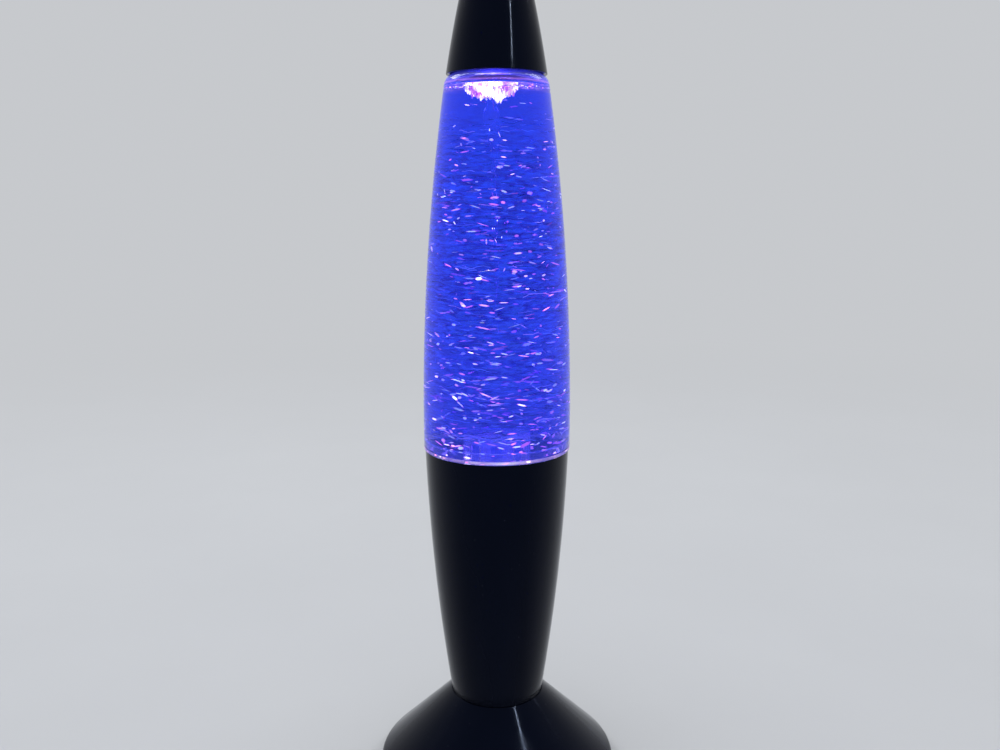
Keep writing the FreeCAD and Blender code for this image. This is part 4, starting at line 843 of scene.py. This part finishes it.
def waterOutline():
    # Up the bottle's inside, in over the surface and down the hollow to its tip
    shape = waterShape
    lap = shape["overlap"]
    inset = bottleShape["wall"] - lap
    sideR = bottleShape["radius"] - inset
    outline = [(0.0, shape["floorZ"] - lap), (shape["plugR"] + lap, shape["floorZ"] - lap),
               (shape["plugR"] + lap, shape["collarZ"] + lap), (sideR, shape["collarZ"] + lap)]
    rimZ = shape["surfaceZ"] + shape["meniscus"]
    for step in range(shape["sideSteps"] + 1):
        z = bottleShape["taperZ"] + (rimZ - bottleShape["taperZ"]) * step / shape["sideSteps"]
        outline.append((sideRadius(z, inset), z))
    rimR = outline[-1][0]
    for away in shape["rimAways"]:
        rise = shape["meniscus"] * math.exp(-away / shape["meniscusReach"])
        outline.append((rimR - away, shape["surfaceZ"] - surfaceDip(rimR - away) + rise))
    for radius in shape["dipRadii"]:
        outline.append((radius, shape["surfaceZ"] - surfaceDip(radius)))
    deepest = shape["surfaceZ"] - shape["tipZ"]
    startDepth = surfaceDip(shape["coreTop"])
    for step in range(shape["coreSteps"] + 1):
        share = step / shape["coreSteps"]
        depth = startDepth + (deepest - startDepth) * step / shape["coreSteps"]
        radius = hollowRadius(depth) * (1.0 - shape["tipNarrowing"] * share ** 3)
        outline.append((radius, shape["surfaceZ"] - depth))
    outline.append((0.0, shape["tipZ"]))
    return outline


def makeWater():
    # The spiral ripple, the core's slow wander and its lean
    shape = waterShape
    sizes = {"Surface": shape["surfaceZ"] * mm, "Tip": shape["tipZ"] * mm, "Ripple": 0.13, "Arms": 3.0,
             "Twist": 0.21 / mm, "Wander": 0.55 * mm, "Wave": 27.0 * mm, "Hollow": shape["hollowStart"] * mm,
             "Aside": vortexAside * mm}
    tree, given = startTree("vortexSurface", sizes)
    x, y, z = split(put(tree, "GeometryNodeInputPosition").outputs[0])
    reach = calc("SQRT", plus(times(x, x), times(y, y)))
    turn = calc("ARCTAN2", y, x)
    near = span(reach, given["Hollow"], times(given["Hollow"], 0.35), smooth=True)
    above = calc("GREATER_THAN", z, minus(given["Tip"], 0.5 * mm))
    share = times(near, above)
    phase = plus(times(turn, given["Arms"]), times(z, given["Twist"]))
    swell = times(calc("SINE", phase), times(share, given["Ripple"]))
    depth = span(z, given["Surface"], given["Tip"])
    angle = calc("DIVIDE", z, calc("DIVIDE", given["Wave"], wholeTurn))
    swing = times(times(given["Wander"], depth), share)
    leaning = times(calc("POWER", minus(1.0, depth), 2.0), given["Aside"])
    sway = plus(times(calc("SINE", angle), swing), times(leaning, share))
    shiftX = plus(times(x, swell), sway)
    shiftY = plus(times(y, swell), times(calc("COSINE", angle), swing))
    endTree(tree, moved(given["Geometry"], Offset=vector(shiftX, shiftY, 0.0)), finishes["blue_water"])
    host = turnedMesh("waterHost", waterOutline(), finishes["blue_water"], steps=96, sharp=40.0)
    return grownPiece("whirlingWater", tree, sizes, "bottle", "blue_water", "water", host=host)


makeWater()
print("water and vortex made")


# Glitter: thin six-sided flakes that the whirl lays along their path, more and larger lower down

def wallSizes(margin):
    return {"Arc": sideArc() * mm, "Taper": bottleShape["taperZ"] * mm,
            "Reach": (bottleShape["radius"] - bottleShape["wall"] - margin) * mm}


def scattered(tree, given):
    # Points, each with a height, a radius inside the wall, which follows the same arc as the bottle's
    # side, and the share of the height that it is at
    seed, inner, arc = given["Seed"], given["Inner"], given["Arc"]
    share = calc("POWER", chance(seed, 0), given["Settling"])
    height = between(share, given["Low"], given["High"])
    mixed = calc("POWER", chance(seed, 1), given["Spread"])
    above = calc("MAXIMUM", minus(height, given["Taper"]), 0.0)
    run = minus(times(arc, arc), times(above, above))
    wall = plus(minus(calc("SQRT", run), arc), given["Reach"])
    breadth = times(minus(wall, inner), given["Breadth"])
    points = put(tree, "GeometryNodePoints", {"Count": given["Count"]}).outputs[0]
    return points, height, plus(inner, times(mixed, breadth)), share


flakeHabit = {"yawLow": 1.2, "yawHigh": 1.95, "sizePower": 2.2, "lowerLonger": 1.15, "roundPower": 3.0,
              "slimmest": 0.48, "roundest": 1.15}


def strewFlakes(name, sizes, *stoodFor):
    habit = flakeHabit
    tree, given = startTree(name, sizes)
    seed = given["Seed"]
    points, height, radius, share = scattered(tree, given)
    turn = chance(seed, 2, 0.0, wholeTurn)
    points = moved(points, Position=vector(*polar(radius, turn), height))

    # One flake, two units across before it is scaled, that knows the place along its length
    sockets = {"Vertices": 6, "Radius": 1.0, "Depth": given["Thickness"]}
    plate = put(tree, "GeometryNodeMeshCylinder", sockets, fill_type="NGON").outputs[0]
    along = split(put(tree, "GeometryNodeInputPosition").outputs[0])[0]
    plate = remember(plate, "along", along, "POINT")

    roll = chance(seed, 3, 0.0, math.pi)
    pitch = plus(given["Lean"], eitherWay(seed, 4, given["Slope"]))
    yaw = plus(turn, chance(seed, 5, habit["yawLow"], habit["yawHigh"]))
    size = calc("POWER", chance(seed, 6), habit["sizePower"])
    length = times(between(size, given["Short"], given["Long"]), between(share, habit["lowerLonger"], 1.0))
    rare = calc("POWER", chance(seed, 7), habit["roundPower"])
    slim = between(rare, habit["slimmest"], habit["roundest"])
    width = times(calc("MINIMUM", length, given["Wide"]), slim)
    strewn = put(tree, "GeometryNodeInstanceOnPoints", {
        "Points": points, "Instance": plate, "Rotation": vector(roll, pitch, yaw),
        "Scale": vector(length, width, width)}).outputs[0]
    # How brightly each flake glows: its painted glint
    paintedBrightness = calc("POWER", chance(seed, 8), given["Rarity"])
    strewn = remember(strewn, "paintedGlint", between(paintedBrightness, given["Dim"], given["Bright"]))
    strewn = remember(strewn, "tint", chance(seed, 9))
    endTree(tree, strewn, finishes["glitter"])
    return grownPiece(name, tree, sizes, "bottle", "glitter", *stoodFor)


glitterSizes = {"Count": 560, "Seed": 11, "Low": 172.2 * mm, "High": 310.0 * mm, "Settling": 1.4,
                "Lean": 0.0, "Inner": 12.8 * mm, "Spread": 0.7, "Breadth": 1.0, "Thickness": 0.12,
                "Short": 0.95 * mm, "Long": 3.3 * mm, "Wide": 0.62 * mm, "Slope": 0.3, "Rarity": 2.3,
                "Dim": 0.55, "Bright": 3.8, **wallSizes(1.2)}

# What each further lot of flakes has otherwise than the first
furtherFlakes = {
    "floatingFlakes": {
        "Count": 190, "Seed": 41, "Low": 331.2 * mm, "High": 332.2 * mm, "Settling": 0.6, "Inner": 5.5 * mm,
        "Spread": 0.8, "Short": 0.3 * mm, "Long": 1.3 * mm, "Wide": 0.3 * mm, "Slope": 0.12, "Rarity": 1.4,
        "Bright": 5.0, **wallSizes(1.0)},
    "upperFlakes": {"Count": 36, "Seed": 91, "Low": 298.0 * mm, "High": 328.0 * mm, "Inner": 6.0 * mm},
    "largeFlakes": {
        "Count": 110, "Seed": 77, "High": 290.0 * mm, "Settling": 1.5, "Short": 1.25 * mm, "Long": 3.0 * mm,
        "Wide": 0.7 * mm, "Slope": 0.5, "Rarity": 1.7, "Dim": 1.2, "Bright": 5.2, **wallSizes(1.8)},
    "innerFlakes": {"Count": 90, "Seed": 57, "Low": 178.0 * mm, "Inner": 2.2 * mm, "Spread": 0.6,
                    "Breadth": 0.42},
    "settledFlakes": {
        "Count": 110, "Seed": 33, "Low": 160.2 * mm, "High": 170.6 * mm, "Settling": 1.0, "Inner": 13.6 * mm,
        "Spread": 0.5, "Short": 0.7 * mm, "Long": 2.3 * mm, "Wide": 0.75 * mm, "Bright": 6.0,
        **wallSizes(5.2)},
    "coreFlakes": {
        "Count": 12, "Seed": 23, "Low": 226.0 * mm, "High": 322.0 * mm, "Settling": 0.7, "Inner": 1.4 * mm,
        "Spread": 1.0, "Breadth": 0.1, "Lean": 1.5, "Short": 0.3 * mm, "Long": 2.6 * mm, "Rarity": 1.0,
        "Dim": 3.0, "Bright": 14.0},
}

strewFlakes("glitterFlakes", glitterSizes, "glitter_flakes")
for name, changes in furtherFlakes.items():
    strewFlakes(name, {**glitterSizes, **changes})
print("glitter strewn")


def flowTrails():
    # Thin curved lines round the axis, each a short arc at its own height and radius
    sweepDegrees = (24.0, 15.0, 10.0, 6.0)
    sizes = {"Count": 1100, "Seed": 71, "Low": 176.0 * mm, "High": 319.0 * mm, "Inner": 6.0 * mm,
             "Spread": 0.4, "Breadth": 1.0, "Slim": 0.14 * mm, "Wave": 1.0 * mm, "Tilt": 0.11,
             "Settling": 1.7, **wallSizes(1.2)}
    tree, given = startTree("flowTrails", sizes)
    seed = given["Seed"]
    points, height, radius = scattered(tree, given)[:3]
    arcs = put(tree, "GeometryNodeJoinGeometry")
    for sweep in sweepDegrees:
        sockets = {"Resolution": 9, "Radius": 1.0, "Sweep Angle": math.radians(sweep)}
        arc = put(tree, "GeometryNodeCurveArc", sockets).outputs[0]
        feed(arcs.inputs[0], put(tree, "GeometryNodeGeometryToInstance", {0: arc}).outputs[0])
    strewn = put(tree, "GeometryNodeInstanceOnPoints", {
        "Points": moved(points, Position=vector(0.0, 0.0, height)), "Instance": arcs.outputs[0],
        "Pick Instance": True, "Scale": vector(radius, radius, 1.0),
        "Rotation": vector(eitherWay(seed, 4, given["Tilt"]), 0.0, chance(seed, 2, 0.0, wholeTurn))})
    strewn = remember(strewn.outputs[0], "tint", chance(seed, 3))
    curves = put(tree, "GeometryNodeRealizeInstances", {0: strewn}).outputs[0]
    drift = put(tree, "ShaderNodeTexNoise", {"Scale": 130.0, "Detail": 2.0}).outputs["Fac"]
    lift = times(minus(drift, 0.5), times(given["Wave"], 4.0))
    waved = moved(curves, Offset=vector(0.0, 0.0, lift))
    endTree(tree, roundBar(waved, 4, given["Slim"]), trailFinish())
    return grownPiece("flowTrails", tree, sizes, "bottle", "glitter")


def vortexFroth():
    # Bubbles drawn into a bowl round the mouth of the vortex, hanging in streaks along its lower edge
    sizes = {"Count": 1500, "Seed": 5, "Surface": 331.6 * mm, "Depth": 4.8 * mm, "Mouth": 8.9 * mm,
             "Bead": 0.26 * mm, "Fringe": 700.0, "Drawn": 4.5, "Steep": 3.2, "Full": 0.8, "Packing": 0.7,
             "Smallest": 0.4, "Growth": 0.9, "Patch": 160.0, "Jitter": 0.16, "Dim": 0.8, "Bright": 7.0,
             "Aside": vortexAside * mm}
    tree, given = startTree("vortexFroth", sizes)
    seed = given["Seed"]
    points = put(tree, "GeometryNodePoints", {"Count": given["Count"]}).outputs[0]
    out = calc("SQRT", chance(seed, 1, 0.02, 1.0))
    x, y = polar(times(given["Mouth"], out), chance(seed, 2, 0.0, wholeTurn))
    sockets = {"Vector": vector(x, y, 0.0), "Scale": given["Fringe"], "Detail": 1.0}
    ragged = put(tree, "ShaderNodeTexNoise", sockets).outputs["Fac"]
    bowl = calc("POWER", minus(1.0, calc("POWER", out, given["Steep"])), given["Full"])
    hang = times(times(given["Depth"], bowl), span(ragged, 0.35, 0.68, 0.6, 1.35))
    deep = calc("POWER", chance(seed, 0), given["Packing"])
    height = minus(given["Surface"], times(deep, hang))
    points = moved(points, Position=vector(plus(x, given["Aside"]), y, height))
    sockets = {"Segments": 8, "Rings": 4, "Radius": given["Bead"]}
    bubble = put(tree, "GeometryNodeMeshUVSphere", sockets).outputs[0]
    size = plus(given["Smallest"], chance(seed, 3, 0.0, given["Growth"]))
    drawn = times(size, chance(seed, 5, 1.0, given["Drawn"]))
    sockets = {"Points": points, "Instance": bubble, "Scale": vector(size, size, drawn)}
    strewn = put(tree, "GeometryNodeInstanceOnPoints", sockets).outputs[0]
    patch = put(tree, "ShaderNodeTexNoise", {"Scale": given["Patch"], "Detail": 3.0}).outputs["Fac"]
    tint = plus(span(patch, 0.3, 0.7), eitherWay(seed, 4, given["Jitter"]))
    strewn = remember(strewn, "tint", tint)
    # How brightly each bubble glows: painted light, brighter where the patch is paler
    strewn = remember(strewn, "paintedGlint", between(tint, given["Dim"], given["Bright"]))
    endTree(tree, strewn, frothFinish())
    return grownPiece("vortexFroth", tree, sizes, "bottle", "blue_water")


flowTrails()
vortexFroth()
print("trails and froth made")


# Stage: pale floor that fades into a pale background, three soft lamps, a slim strip and the camera

stage = {"pale": (0.57, 0.585, 0.61), "cloudSize": 160.0, "cloudShade": 0.975, "floorHalfWidth": 6000.0,
         "fadeFrom": 350.0, "fadeTo": 1500.0, "skyLight": 0.5}

# Place, aim, width and height in metres, and watts
softboxes = {
    "topSoftbox": ((-0.1, 0.1, 2.5), (0.0, 0.0, 0.1), (2.0, 1.6), 30.0),
    "leftSoftbox": ((-1.7, 1.2, 2.2), (0.0, 0.0, 0.2), (1.2, 1.6), 26.0),
    "rightSoftbox": ((1.8, 1.0, 2.1), (0.0, 0.0, 0.2), (1.0, 1.4), 18.0),
}


def makeFloor():
    finish, shader = newFinish("paleFloor", {"Roughness": 0.8, "Specular IOR Level": 0.0,
                                             "Emission Color": (*stage["pale"], 1.0)})
    spot = objectSpot(shader)
    x, y = split(spot)[:2]
    away = calc("SQRT", plus(times(x, x), times(y, y)))
    fade = span(away, stage["fadeFrom"] * mm, stage["fadeTo"] * mm, smooth=True)
    cloud = grain(spot, stage["cloudSize"], 4.0)
    near = twoTone(cloud, tuple(stage["cloudShade"] * part for part in stage["pale"]), stage["pale"])
    paint(shader, "Base Color", blended(fade, near, (0.0, 0.0, 0.0)))
    paint(shader, "Emission Strength", fade)
    half = stage["floorHalfWidth"] * mm
    mesh = bpy.data.meshes.new("floor")
    corners = [(-half, -half, 0), (half, -half, 0), (half, half, 0), (-half, half, 0)]
    mesh.from_pydata(corners, [], [(0, 1, 2, 3)])
    mesh.materials.append(finish)
    linked("floor", mesh)


def makeSky():
    # Seen, reflected and looked through it is the pale background; as light it is only a soft fill
    sky = bpy.data.worlds.new("softSky")
    scene.world = sky
    sky.use_nodes = True
    backdrop = sky.node_tree.nodes["Background"].inputs
    backdrop["Color"].default_value = (*stage["pale"], 1.0)
    path = put(sky.node_tree, "ShaderNodeLightPath").outputs
    bent = calc("MAXIMUM", path["Is Glossy Ray"], path["Is Transmission Ray"])
    seen = calc("MAXIMUM", path["Is Camera Ray"], bent)
    feed(backdrop["Strength"], between(seen, stage["skyLight"], 1.0))


def makeLamp(name, place, aim, size, watts):
    light = bpy.data.lights.new(name, "AREA")
    light.shape = "RECTANGLE"
    light.size, light.size_y = size
    light.energy = watts
    lamp = linked(name, light)
    lamp.location = place
    lamp.rotation_euler = (Vector(aim) - Vector(place)).to_track_quat("-Z", "Y").to_euler()
    return lamp


def makeStrip():
    # A slim strip that only shows as the fine line of light down the gloss mouldings; places in metres
    shape = {"low": (0.931, -1.24, 1.083), "high": (0.761, -0.486, 1.356), "aim": (0.0, 0.0, 0.2),
             "width": 0.007, "watts": 7.6, "colour": (1.0, 0.88, 0.6)}
    low, high, aim = Vector(shape["low"]), Vector(shape["high"]), Vector(shape["aim"])
    middle = (low + high) / 2
    strip = makeLamp("slimStrip", middle, aim, (shape["width"], (high - low).length), shape["watts"])
    along = (high - low).normalized()
    side = along.cross(middle - aim).normalized()
    strip.rotation_euler = Matrix((side, along, side.cross(along))).transposed().to_euler()
    strip.data.color = shape["colour"]
    strip.visible_diffuse = False


def makeCamera():
    # Where the photo was taken from: place and nearest in metres, downwards in degrees
    shape = {"place": (0.0015, -0.4435, 0.2849), "downwards": 10.67, "lens": 34.14, "sensor": 36.0,
             "nearest": 0.01}
    view = bpy.data.cameras.new("photoView")
    view.sensor_width = shape["sensor"]
    view.lens = shape["lens"]
    view.clip_start = shape["nearest"]
    camera = linked("photoView", view)
    camera.location = shape["place"]
    camera.rotation_euler = (math.radians(90.0 - shape["downwards"]), 0.0, 0.0)
    scene.camera = camera


makeFloor()
makeSky()
for name, softbox in softboxes.items():
    makeLamp(name, *softbox)
makeStrip()
makeCamera()
scene.view_settings.view_transform = "Standard"
print("stage, lamps and camera set")
